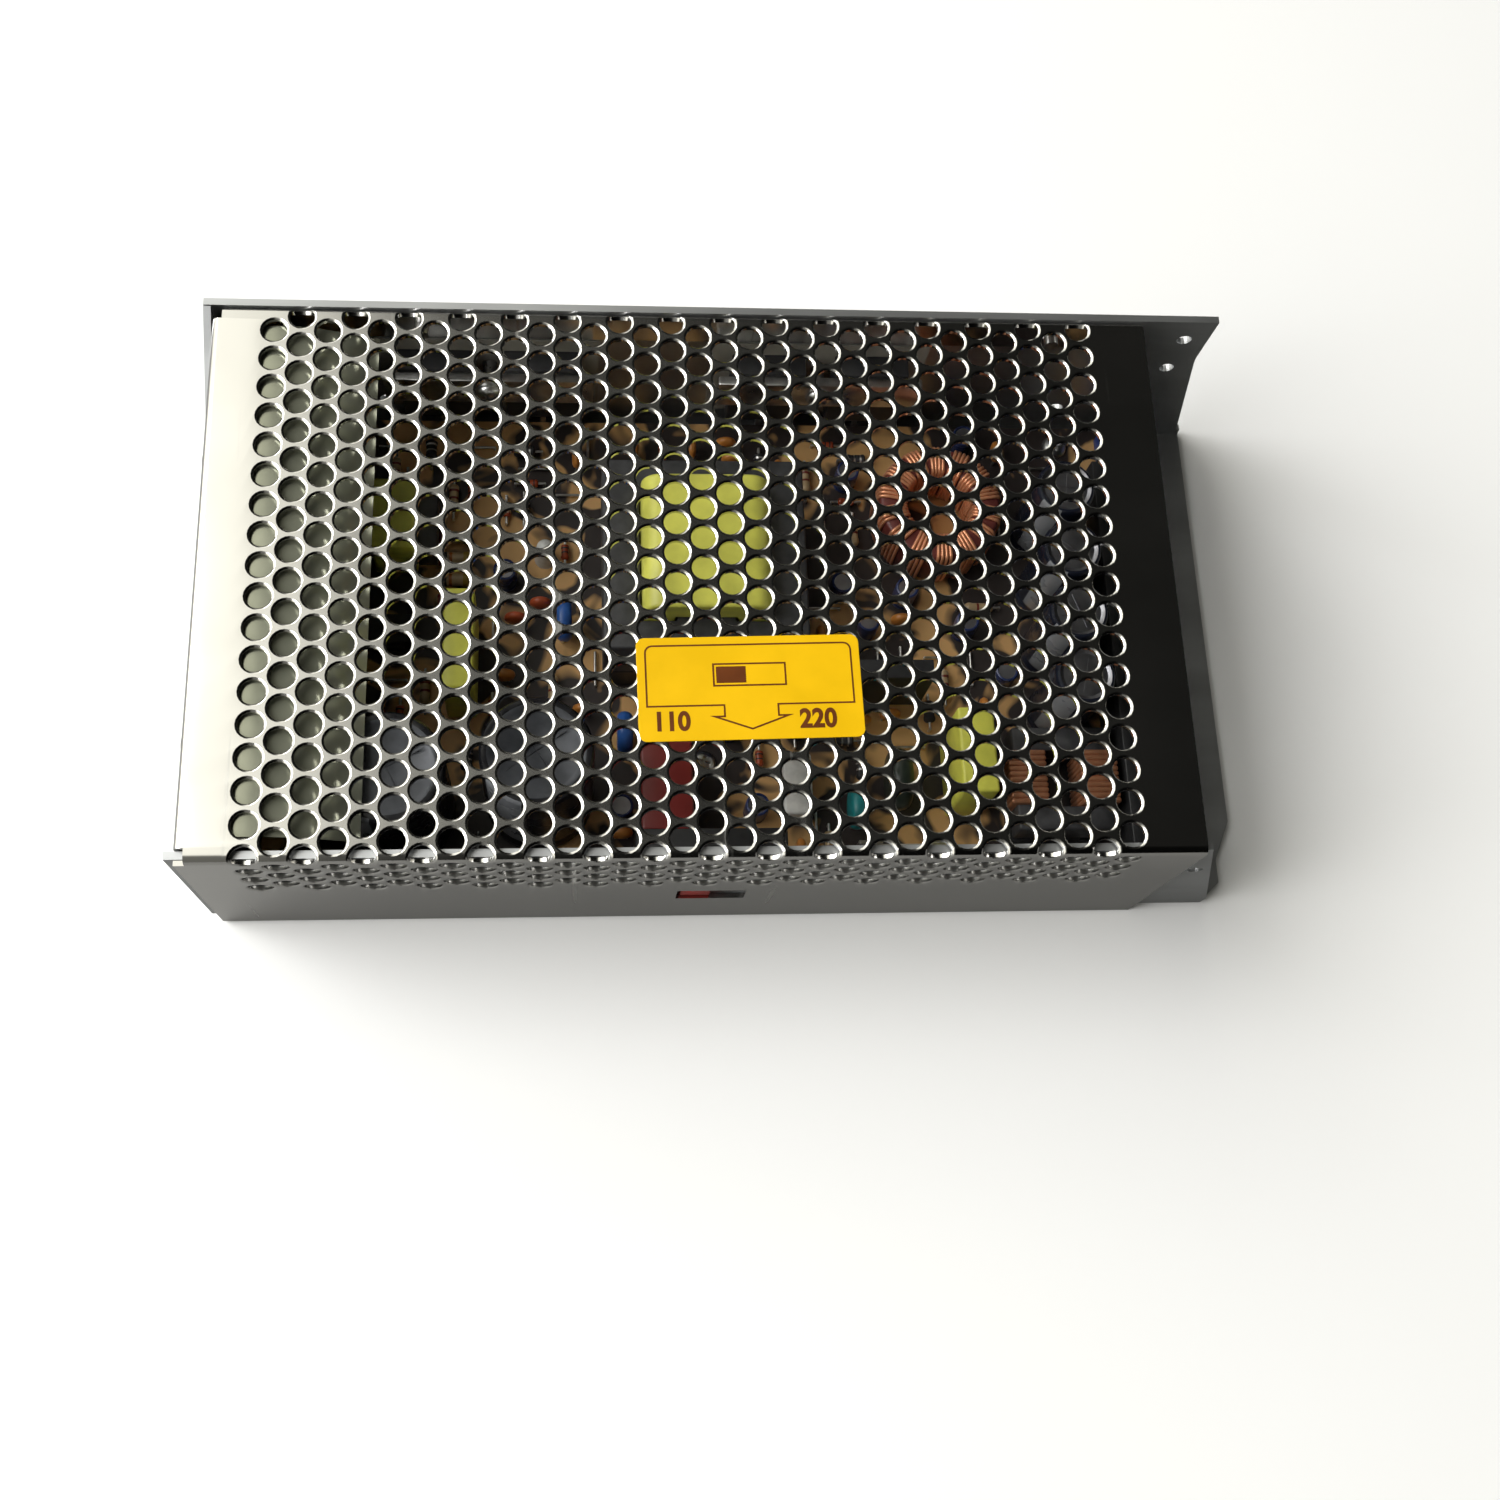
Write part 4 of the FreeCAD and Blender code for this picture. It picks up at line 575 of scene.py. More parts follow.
class SUPPLY_OT_stage(bpy.types.Operator):
    """Set the floor, the soft light and the camera."""

    bl_idname = "supply.stage"
    bl_label = "Stage"

    def execute(self, context):
        deselect()
        bpy.ops.mesh.primitive_plane_add(size=6.0, location=(0, 0, -0.0002))
        floor = fresh("floor")
        floor.data.materials.append(self.floor_paper())
        self.light_room(context.scene)
        self.hang_lamps()
        self.place_camera(context.scene)
        return {"FINISHED"}

    def floor_paper(self):
        """Pale paper to the camera; to all other rays a quieter grey, so that little of it mirrors in the sheet."""
        paper = grained("floor_paper", (0.88, 0.88, 0.88), (0.865, 0.865, 0.865), 0.7, scale=3.0, fine=300.0,
                        depth=0.01)
        tree = paper.node_tree
        link = tree.links.new
        path = add_node(tree, "LightPath")
        blend = add_node(tree, "Mix")
        blend.data_type = "RGBA"
        share, quiet, pale, result = blend.inputs[0], blend.inputs[6], blend.inputs[7], blend.outputs[2]
        quiet.default_value = (0.22, 0.22, 0.215, 1)
        link(path.outputs["Is Camera Ray"], share)
        link(find_node(paper, "VALTORGB").outputs["Color"], pale)
        link(result, find_node(paper, "BSDF_PRINCIPLED").inputs["Base Color"])
        return paper

    def light_room(self, scene):
        """A room with a bright side at the left, dark overhead on the right and in front, pale to the camera."""
        room = bpy.data.worlds.new("studio_room")
        scene.world = room
        room.use_nodes = True
        tree = room.node_tree
        tree.nodes.clear()
        out = add_node(tree, "OutputWorld")
        back = add_node(tree, "Background")
        place = add_node(tree, "TexCoord")
        parts = add_node(tree, "SeparateXYZ")
        across = add_node(tree, "MapRange", From_Min=-0.30, From_Max=0.40)
        tone = add_node(tree, "ValToRGB")
        ramp = tone.color_ramp
        while len(ramp.elements) < len(ROOM_STOPS):
            ramp.elements.new(0.5)
        for element, (spot, _) in zip(ramp.elements, ROOM_STOPS):
            element.position = spot
        for element, (_, level) in zip(ramp.elements, ROOM_STOPS):
            element.color = (level, level * 0.985, level * 0.88, 1)
        front = add_node(tree, "MapRange", From_Min=-0.30, From_Max=0.12, To_Min=0.12, To_Max=1.0)
        side = add_node(tree, "MapRange", From_Min=-0.70, From_Max=-0.45, To_Min=1.0, To_Max=0.0)
        front.interpolation_type = side.interpolation_type = "SMOOTHSTEP"
        share = add_node(tree, "Math")
        share.operation = "MAXIMUM"
        link = tree.links.new
        link(place.outputs["Generated"], parts.inputs["Vector"])
        link(parts.outputs["X"], across.inputs["Value"])
        link(across.outputs["Result"], tone.inputs["Fac"])
        link(tone.outputs["Color"], back.inputs["Color"])
        link(parts.outputs["Y"], front.inputs["Value"])
        link(parts.outputs["X"], side.inputs["Value"])
        link(front.outputs["Result"], share.inputs[0])
        link(side.outputs["Result"], share.inputs[1])
        link(share.outputs["Value"], back.inputs["Strength"])
        pale = add_node(tree, "Background", Color=(0.93, 0.93, 0.92, 1))
        blend = add_node(tree, "MixShader")
        link(add_node(tree, "LightPath").outputs["Is Camera Ray"], blend.inputs[0])
        link(back.outputs["Background"], blend.inputs[1])
        link(pale.outputs["Background"], blend.inputs[2])
        link(blend.outputs["Shader"], out.inputs["Surface"])

    def hang_lamps(self):
        aim = Vector((0, 0, 0.02))
        for name, place, size, watts in (("left_softbox", (-1.30, 0.05, 1.05), 1.4, 38.0),
                                         ("far_left_softbox", (-1.10, 1.30, 0.90), 0.7, 6.0)):
            lamp = bpy.data.lights.new(name, "AREA")
            lamp.shape = "SQUARE"
            lamp.size = size
            lamp.energy = watts
            holder = bpy.data.objects.new(name, lamp)
            holder.location = place
            holder.rotation_euler = (aim - Vector(place)).to_track_quat("-Z", "Y").to_euler()
            bpy.context.scene.collection.objects.link(holder)

    def place_camera(self, scene):
        """The photograph's view."""
        lens = bpy.data.cameras.new("view_camera")
        lens.sensor_width = 36.0
        lens.lens = FOCAL / FRAME_SIDE * lens.sensor_width
        lens.shift_x = (FRAME_SIDE / 2 - CENTRE_X) / FRAME_SIDE
        lens.shift_y = -(FRAME_SIDE / 2 - CENTRE_Y) / FRAME_SIDE
        lens.clip_start = 0.01
        camera = bpy.data.objects.new("view_camera", lens)
        rows = Matrix(((0.99613, -0.03026, 0.08253), (0.00165, 0.94516, 0.32659), (-0.08789, -0.32519, 0.94155)))
        camera.matrix_world = Matrix.Translation(Vector((-35.53, -131.96, 353.63)) * MM) @ rows.transposed().to_4x4()
        scene.collection.objects.link(camera)
        scene.camera = camera
        scene.view_settings.view_transform = "Standard"


class SUPPLY_OT_cover(bpy.types.Operator):
    """Cut the flat cover with its round vents and fold it up."""

    bl_idname = "supply.cover"
    bl_label = "Cover"

    def execute(self, context):
        sizes = settings()[0]
        low, high = span("cover")
        self.top = high.z
        self.bend = sizes.bend
        self.arc = QUARTER_TURN * sizes.bend
        self.near = low.y + sizes.bend
        self.far = high.y - sizes.bend
        self.left = low.x + sizes.bend
        self.flap = (low.y + sizes.relief, high.y - sizes.relief)
        straight = high.z - sizes.bend
        bottom = self.near - self.arc - (straight - low.z)
        lip_end = self.far + self.arc + (sizes.far_lip - sizes.bend)
        flap_end = self.left - self.arc - (sizes.end_flange - sizes.bend)
        notch_x = low.x + 2 * sizes.sheet
        notch_y = self.near - self.arc - 0.4 * MM
        window = self.window_place(sizes, straight)
        seam = window[3] + SEAM_ABOVE_WINDOW
        blank = drawn("cover_outline", [
            (low.x, seam, 0), (high.x, seam, 0), (high.x, lip_end, 0), (notch_x, lip_end, 0),
            (notch_x, self.flap[1], 0), (flap_end, self.flap[1], 0), (flap_end, self.flap[0], 0),
            (notch_x, self.flap[0], 0), (notch_x, notch_y, 0), (low.x, notch_y, 0)], closed=True)
        edit(blank, "EDGE")
        extrude((0, 0, -sizes.sheet))
        done()
        cover = joined("cover_sheet", [blank] + self.punch_vents(sizes))
        for level in (0.0, -sizes.sheet):
            edit(cover, "EDGE")
            pick(cover, "edges", lambda e: len(e.link_faces) == 1 and all(abs(v.co.z - level) < 1e-7 for v in e.verts))
            bpy.ops.mesh.fill(use_beauty=False)
            done()
        strip = self.windowed_strip((low.x, bottom, -sizes.sheet), (high.x, seam, 0), window)
        cover = joined("cover_sheet", [cover, strip])
        edit(cover, "FACE")
        pick(cover, "faces", lambda f: all(abs(v.co.y - seam) < CLOSE for v in f.verts))
        bpy.ops.mesh.delete(type="FACE")
        done()
        self.score_folds(cover)
        self.fold(cover)
        edit(cover, "FACE")
        bpy.ops.mesh.remove_doubles(threshold=2e-6)
        bpy.ops.mesh.normals_make_consistent(inside=False)
        done()
        smooth(cover, 38)
        seat(cover, plated_cover(), "cover")
        return {"FINISHED"}

    def window_place(self, sizes, straight):
        """Left, right, lower and upper edge of the knob's opening, on the flat sheet."""
        low, high = span("selector_slide")
        wide = (high.x - low.x) * KNOB_SHARE / SLIDE_SHARE
        left = (low.x + high.x) / 2 - wide / 2 - sizes.window_gap
        right = left + wide + sizes.travel + 2 * sizes.window_gap
        middle = (low.z + high.z) / 2
        lower, upper = [self.near - self.arc - (straight - z) for z in
                        (middle - KNOB_TALL / 2 - sizes.window_gap, middle + KNOB_TALL / 2 + sizes.window_gap)]
        return left, right, lower, upper

    def windowed_strip(self, low, high, window):
        """The plain lower part of the near side, with the knob's opening cut through."""
        left, right, lower, upper = window
        strip = block("cover_strip", low, high)
        return cut(strip, [block("window_cutter", (left, lower, 2 * low[2]), (right, upper, -low[2]))])

    def punch_vents(self, sizes):
        """One vent with a rolled rim, repeated in staggered columns."""
        deselect()
        bpy.ops.mesh.primitive_circle_add(vertices=sizes.segments, radius=RIM_STEPS[0][0] * MM)
        vent = fresh("vent")
        edit(vent, "EDGE")
        bpy.ops.mesh.mark_sharp()
        radius, depth = RIM_STEPS[0]
        for next_radius, next_depth in RIM_STEPS[1:]:
            extrude((0, 0, (next_depth - depth) * MM))
            share = next_radius / radius
            bpy.ops.transform.resize(value=(share, share, 1), center_override=(0, 0, 0))
            radius, depth = next_radius, next_depth
        done()
        columns = []
        for odd in (0, 1):
            x = sizes.first_column + odd * sizes.column_step
            y = sizes.first_row + odd * sizes.row_step / 2
            side = y - TOP_ROWS * sizes.row_step - sizes.side_shift
            for start, rows in ((y, TOP_ROWS), (side, SIDE_ROWS)):
                patch = copied(vent, "vents", Matrix.Translation((x, start, 0)))
                repeat(patch, rows, (0, -sizes.row_step, 0))
                columns.append(repeat(patch, SET_COLUMNS, (2 * sizes.column_step, 0, 0)))
        bpy.data.objects.remove(vent)
        return columns

    def score_folds(self, cover):
        """Cut the flat sheet across each fold, so that it can bend smoothly."""
        steps = [self.arc * k / FOLD_STEPS for k in range(FOLD_STEPS + 1)]
        cuts = [((0, self.near - step, 0), (0, 1, 0)) for step in steps]
        cuts += [((0, self.far + step, 0), (0, 1, 0)) for step in steps]
        cuts += [((self.left - step, 0, 0), (1, 0, 0)) for step in steps]
        edit(cover, "FACE")
        for place, normal in cuts:
            bpy.ops.mesh.select_all(action="SELECT")
            bpy.ops.mesh.bisect(plane_co=place, plane_no=normal)
        done()

    def bent(self, reach, depth):
        """Forward and downward travel of a point that lies reach past the start of a fold."""
        if reach <= self.arc:
            turn = reach / self.bend
            radius = self.bend + depth
            return radius * math.sin(turn), self.bend - radius * math.cos(turn)
        return self.bend + depth, self.bend + (reach - self.arc)

    def fold(self, cover):
        """Lay every point of the flat sheet on the folded one."""
        edge = 1e-9
        for vertex in cover.data.vertices:
            x, y, depth = vertex.co
            inside = self.flap[0] - CLOSE <= y <= self.flap[1] + CLOSE
            if x < self.left - edge and inside:
                forward, down = self.bent(self.left - x, depth)
                vertex.co = (self.left - forward, y, self.top - down)
            elif y < self.near - edge:
                forward, down = self.bent(self.near - y, depth)
                vertex.co = (x, self.near - forward, self.top - down)
            elif y > self.far + edge:
                forward, down = self.bent(y - self.far, depth)
                vertex.co = (x, self.far + forward, self.top - down)
            else:
                vertex.co.z = self.top + depth


class SUPPLY_OT_chassis(bpy.types.Operator):
    """Give the folded chassis and its sheets their finishes."""

    bl_idname = "supply.chassis"
    bl_label = "Chassis"

    def execute(self, context):
        for node, finish in (("chassis", chassis_sheet()), ("circuit_board", board_laminate()),
                             ("insulating_sheet", plain_case("insulating_film", (0.52, 0.50, 0.42))),
                             ("board_standoffs", plain("zinc_plating")),
                             ("insulating_pads", plain_case("silicone_pad", (0.42, 0.40, 0.36)))):
            thing = frame["nodes"][node]
            thing.data.materials.clear()
            thing.data.materials.append(finish)
        self.film_leaf()
        return {"FINISHED"}

    def film_leaf(self):
        """Insulating film that stands inside the blind end and leans over under the first vents."""
        low, high = span("insulating_sheet")
        board = span("circuit_board")[1].z
        roof = span("cover")[1].z - 1.0 * MM
        run = [(low.x, board + 0.1 * MM)] + [(low.x + along * MM, roof - drop * MM) for along, drop in FILM_RUN]
        near, far = low.y + 0.6 * MM, high.y - 0.6 * MM
        film = drawn("film_leaf", [(x, near, z) for x, z in run])
        edit(film, "EDGE")
        for _ in range(FILM_STRIPS):
            extrude((0, (far - near) / FILM_STRIPS, 0))
        outward()
        done()
        chance = random.Random(7)
        for vertex in film.data.vertices:
            if vertex.co.z > roof - 4.9 * MM:
                vertex.co.z -= chance.random() * (0.5 if vertex.co.y > 18 * MM else 0.12) * MM
        modify(film, "SOLIDIFY", thickness=0.25 * MM, offset=0)
        smooth(film, 60)
        finish = grained("film_leaf", (0.42, 0.43, 0.33), (0.32, 0.33, 0.255), 0.20, metal=0.65, scale=60.0,
                         fine=70.0, depth=0.12)
        seat(film, finish, "insulating_sheet", hides=False)


class SUPPLY_OT_label(bpy.types.Operator):
    """Make the yellow sticker with its printed frame, arrow and numbers."""

    bl_idname = "supply.label"
    bl_label = "Sticker"

    def execute(self, context):
        sizes, colours = settings()[1], settings()[2]
        low, high = span("switch_label")
        middle = (low + high) / 2
        turn = Matrix.Translation(middle) @ Matrix.Rotation(sizes.turn, 4, "Z") @ Matrix.Translation(-middle)
        film = grained("sticker_film", colours.sticker, [c * 0.9 for c in colours.sticker], 0.4, scale=90.0,
                       fine=900.0, depth=0.01)
        ink = grained("sticker_ink", colours.ink, [c * 0.8 for c in colours.ink], 0.5, scale=200.0, fine=900.0,
                      depth=0.005)
        plate = taken("switch_label", "sticker")
        soften(plate, 0.05 * MM, 1)
        plate.data.transform(turn)
        seat(plate, film, "switch_label")
        marks = [self.frame_and_arrow(sizes, low, high)] + self.switch_sign(sizes, low, high)
        for number, side in (("110", -1), ("220", 1)):
            marks.append(self.digits(number, middle.x + sizes.number_shift + side * sizes.number_reach,
                                     low.y + sizes.number_lift, high.z, sizes))
        for finish in (film, ink):
            self.dull(finish)
        prints = joined("sticker_print", marks)
        prints.data.transform(turn)
        seat(prints, ink, "switch_label", hides=False)
        return {"FINISHED"}

    def dull(self, finish):
        """Paper-like film that mirrors little of the room."""
        find_node(finish, "BSDF_PRINCIPLED").inputs["Specular IOR Level"].default_value = 0.22

    def printed(self, name, points, top, line=0):
        """A thin printed area, or only its outline where a line width is given."""
        mark = drawn(name, [(x, y, top - PRINT_SINK) for x, y in points], closed=True)
        edit(mark, "EDGE")
        bpy.ops.mesh.edge_face_add()
        outward()
        if line:
            bpy.ops.mesh.select_mode(type="FACE")
            bpy.ops.mesh.select_all(action="SELECT")
            bpy.ops.mesh.inset(thickness=line, depth=0)
            bpy.ops.mesh.delete(type="FACE")
            bpy.ops.mesh.select_all(action="SELECT")
        extrude((0, 0, PRINT_THICK))
        outward()
        done()
        return mark

    def frame_and_arrow(self, sizes, low, high):
        """A printed frame whose lower edge runs into a wide arrow towards the selector."""
        middle = (low.x + high.x) / 2
        left, right = low.x + sizes.frame_inset, high.x - sizes.frame_inset
        upper = high.y - sizes.frame_inset
        lower = upper - sizes.frame_depth
        soft = sizes.frame_corner
        tip = low.y + sizes.arrow_tip
        barb = tip + sizes.arrow_head
        stem = sizes.arrow_stem / 2
        wing = sizes.arrow / 2
        points = [(left, lower)]
        for centre_x, start in ((left + soft, 180), (right - soft, 90)):
            for k in range(5):
                angle = math.radians(start - 22.5 * k)
                points.append((centre_x + soft * math.cos(angle), upper - soft + soft * math.sin(angle)))
        points += [(right, lower), (middle + stem, lower), (middle + stem, barb), (middle + wing, barb),
                   (middle, tip), (middle - wing, barb), (middle - stem, barb), (middle - stem, lower)]
        return self.printed("sticker_frame", points, high.z, sizes.frame_line)

    def switch_sign(self, sizes, low, high):
        """A slot with its knob at one end, as a plain sign for a slide switch."""
        middle = (low.x + high.x) / 2
        level = high.y - sizes.frame_inset - sizes.frame_depth / 2
        long, tall = sizes.sign_length / 2, sizes.sign_length / 6
        slot = [(middle - long, level - tall), (middle - long, level + tall), (middle + long, level + tall),
                (middle + long, level - tall)]
        inside = 2 * sizes.frame_line
        knob = [(middle - long + inside, level - tall + inside), (middle - long + inside, level + tall - inside),
                (middle - inside, level + tall - inside), (middle - inside, level - tall + inside)]
        return [self.printed("sticker_slot", slot, high.z, sizes.frame_line),
                self.printed("sticker_knob", knob, high.z)]

    def digits(self, number, x, y, z, sizes):
        """A plain number as a thin mesh, bold and a little narrow."""
        letters = bpy.data.curves.new("sticker_" + number, "FONT")
        letters.body = number
        letters.size = sizes.digits * 1.38
        letters.space_character = 1.02
        letters.offset = 0.20 * MM
        letters.align_x = "CENTER"
        letters.align_y = "CENTER"
        letters.extrude = 0.015 * MM
        thing = bpy.data.objects.new("sticker_" + number, letters)
        bpy.context.scene.collection.objects.link(thing)
        alone(thing)
        bpy.ops.object.convert(target="MESH")
        thing = bpy.context.active_object
        thing.data.transform(Matrix.Translation((x, y, z + 0.005 * MM)) @ Matrix.Diagonal((0.9, 1, 1, 1)))
        return thing


class SUPPLY_OT_screws(bpy.types.Operator):
    """Turn a cross-recessed screw for every screw of the frame."""

    bl_idname = "supply.screws"
    bl_label = "Screws"

    def execute(self, context):
        finish = plain("zinc_plating")
        for node in ("board_screws", "terminal_screws", "clamp_screws", "cover_screws"):
            heads = [self.screw(node, k, low, high, self.facing(node, high - low))
                     for k, (low, high) in enumerate(loose_boxes(node))]
            seat(joined(node + "_turned", heads), finish, node)
        return {"FINISHED"}

    def facing(self, node, size):
        """The turn from +Z to the way a screw's head looks."""
        if node == "clamp_screws":
            return Matrix.Rotation(QUARTER_TURN, 4, "X")
        if node == "cover_screws":
            return Matrix.Rotation(-QUARTER_TURN, 4, "Y" if size.x > size.y else "X")
        return Matrix()

    def screw(self, node, number, low, high, turn):
        """A pan head with a cross recess on a plain shank, facing the turned +Z."""
        axis = turn.to_3x3() @ Vector((0, 0, 1))
        length = max(abs((high - low).dot(axis)), 1e-5)
        radius = [abs((high - low)[k]) for k in range(3) if abs(axis[k]) < 0.5][0] / 2
        head = min(0.62 * radius, length)
        shank = 0.52 * radius if length > head * 1.05 else 0
        profile = [(0, head)] + [(radius * out, head * up) for out, up in PAN_HEAD]
        profile += [(shank, 0), (shank, head - length), (0, head - length)] if shank else [(0, 0)]
        piece = turned("%s_%d" % (node, number), profile, (0, 0, 0), sides=32)
        cutters = []
        for across_x in (True, False):
            long, short = radius * 0.56, radius * 0.13
            half = (long, short) if across_x else (short, long)
            cutters.append(block("recess", (-half[0], -half[1], head * 0.45), (half[0], half[1], head * 1.4)))
        smooth(cut(piece, cutters), 40)
        middle = (low + high) / 2
        seat_point = middle + axis * (length / 2 - head)
        piece.data.transform(Matrix.Translation(seat_point) @ turn @ Matrix.Rotation(0.5 + number * 1.1, 4, "Z"))
        return piece


class SUPPLY_OT_electrolytics(bpy.types.Operator):
    """Turn the electrolytic capacitors with their sleeves, grooves and scored tops."""

    bl_idname = "supply.electrolytics"
    bl_label = "Electrolytic Capacitors"

    def execute(self, context):
        top = plain("can_metal")
        lid = plain("dark_top")
        stripe = sleeve("sleeve_stripe", (0.30, 0.31, 0.33), (0.24, 0.25, 0.27))
        dark = sleeve("sleeve_dark", (0.012, 0.015, 0.028), (0.008, 0.010, 0.018))
        black = sleeve("sleeve_black", (0.012, 0.012, 0.014), (0.007, 0.007, 0.009))
        for kind, count, finishes in (("bulk_capacitor_%d", 2, (black, lid, stripe)),
                                      ("output_capacitor_%d", 4, (dark, top, stripe))):
            for node in [kind % (k + 1) for k in range(count)]:
                seat(self.can(node, span(node), finishes), None, node)
        boxes = loose_boxes("small_capacitors")
        cans = [self.can("small_%d" % k, box, (dark, top, stripe)) for k, box in enumerate(boxes)]
        seat(joined("small_capacitors_turned", cans), None, "small_capacitors")
        return {"FINISHED"}

    def can(self, name, box, finishes):
        low, high = box
        radius = (high.x - low.x) / 2
        tall = high.z - low.z
        roll = min(0.9 * MM, radius * 0.12)
        groove = radius * 0.28
        profile = [(0, tall - roll * 0.55), (radius * 0.74, tall - roll * 0.55), (radius * 0.78, tall - roll * 0.30),
                   (radius * 0.86, tall), (radius - roll * 0.6, tall - roll * 0.12),
                   (radius - roll * 0.12, tall - roll * 0.7), (radius, tall - roll * 1.6), (radius, groove * 1.9),
                   (radius * 0.955, groove * 1.45), (radius * 0.94, groove * 1.2), (radius * 0.955, groove * 0.95),
                   (radius, groove * 0.5), (radius, roll * 0.7), (radius * 0.96, 0), (0, 0)]
        can = turned(name + "_can", profile, ((low.x + high.x) / 2, (low.y + high.y) / 2, low.z), sides=48)
        centre = Vector(((low.x + high.x) / 2, (low.y + high.y) / 2, 0))
        cutters = []
        for k in range(2):
            bar = block("score", (-radius * 0.62, -0.12 * MM, tall - roll * 0.55 - 0.18 * MM),
                        (radius * 0.62, 0.12 * MM, tall + MM))
            bar.data.transform(Matrix.Translation((centre.x, centre.y, low.z)) @ Matrix.Rotation(
                QUARTER_TURN * k + 0.4 + centre.y * 40, 4, "Z"))
            cutters.append(bar)
        cut(can, cutters)

        def which(face):
            middle = face.center
            out = Vector((middle.x, middle.y, 0)) - centre
            if out.length < radius * 0.82 and middle.z > low.z + tall * 0.8:
                return 1
            if out.length > radius * 0.9 and low.z + tall * 0.12 < middle.z < low.z + tall * 0.99:
                turn = math.atan2(out.y, out.x) + 2.2
                if math.cos(turn) > 0.93:
                    return 2
            return 0
        paint(can, finishes, which)
        return smooth(can, 35)


class SUPPLY_OT_output_choke(bpy.types.Operator):
    """Wind the output choke with round copper wire."""

    bl_idname = "supply.output_choke"
    bl_label = "Output Choke"

    def execute(self, context):
        low, high = span("output_choke_core")
        outer = (high.x - low.x) / 2
        inner = outer - 5.6 * MM
        centre = Vector(((low.x + high.x) / 2, (low.y + high.y) / 2, 0))
        tall = high.z - low.z
        soft = 0.9 * MM
        profile = [(inner, soft), (inner + soft * 0.3, soft * 0.3), (inner + soft, 0), (outer - soft, 0),
                   (outer - soft * 0.3, soft * 0.3), (outer, soft), (outer, tall - soft),
                   (outer - soft * 0.3, tall - soft * 0.3), (outer - soft, tall), (inner + soft, tall),
                   (inner + soft * 0.3, tall - soft * 0.3), (inner, tall - soft), (inner, soft)]
        ring = turned("choke_ring", profile, (centre.x, centre.y, low.z), sides=64)
        smooth(ring, 50)
        seat(ring, plain("powder_core"), "output_choke_core")
        self.wind(centre, inner, outer, low.z, high.z)
        return {"FINISHED"}

    def wind(self, centre, inner, outer, bottom, top):
        """Places round the ring, each with strands side by side."""
        low, high = span("output_choke_winding")
        reach = (high.x - low.x) / 2
        out = min(outer + WIRE, reach - WIRE)
        strands = []
        for place in range(CHOKE_PLACES):
            for strand in CHOKE_STRANDS:
                middle = 2 * math.pi * (place + 0.5) / CHOKE_PLACES
                turn = middle + strand * 0.95 * MM / outer
                inside = middle + strand * 0.72 * MM / inner
                stops = ((inner - WIRE * 0.9, bottom + MM, inside), (inner - WIRE * 0.9, top - MM, inside),
                         (inner + 0.3 * MM, top + WIRE, inside), (outer - 0.6 * MM, top + WIRE, turn),
                         (out, top - 0.8 * MM, turn), (out, bottom + 0.8 * MM, turn),
                         (outer - 0.6 * MM, bottom - WIRE, turn), (inner + 0.3 * MM, bottom - WIRE, inside))
                path = [(radius * math.cos(angle), radius * math.sin(angle), z) for radius, z, angle in stops]
                strands.append(self.strand("turn_%d_%g" % (place, strand), path, WIRE))
        coil = joined("choke_winding", strands)
        coil.data.transform(Matrix.Translation(centre))
        smooth(coil, 60)
        seat(coil, copper_wire(), "output_choke_winding")

    def strand(self, name, path, radius):
        """A closed round wire along a few points."""
        line = bpy.data.curves.new(name, "CURVE")
        line.dimensions = "3D"
        line.bevel_depth = radius
        line.bevel_resolution = 2
        line.resolution_u = 3
        run = line.splines.new("NURBS")
        run.points.add(len(path) - 1)
        for point, place in zip(run.points, path):
            point.co = (*place, 1)
        run.use_cyclic_u = True
        run.order_u = 3
        thing = bpy.data.objects.new(name, line)
        bpy.context.scene.collection.objects.link(thing)
        alone(thing)
        bpy.ops.object.convert(target="MESH")
        return bpy.context.active_object


class SUPPLY_OT_transformer(bpy.types.Operator):
    """Finish the transformer: ferrite halves, bobbin and taped winding."""

    bl_idname = "supply.transformer"
    bl_label = "Transformer"

    def execute(self, context):
        moulded("transformer_core", "transformer_ferrite", 0.5, 2, plain("ferrite"))
        moulded("transformer_bobbin", "transformer_foot", 0.3, 1, plain("black_moulding"))
        moulded("transformer_winding", "transformer_tape", 0.7, 3, winding_tape(), angle=50)
        return {"FINISHED"}


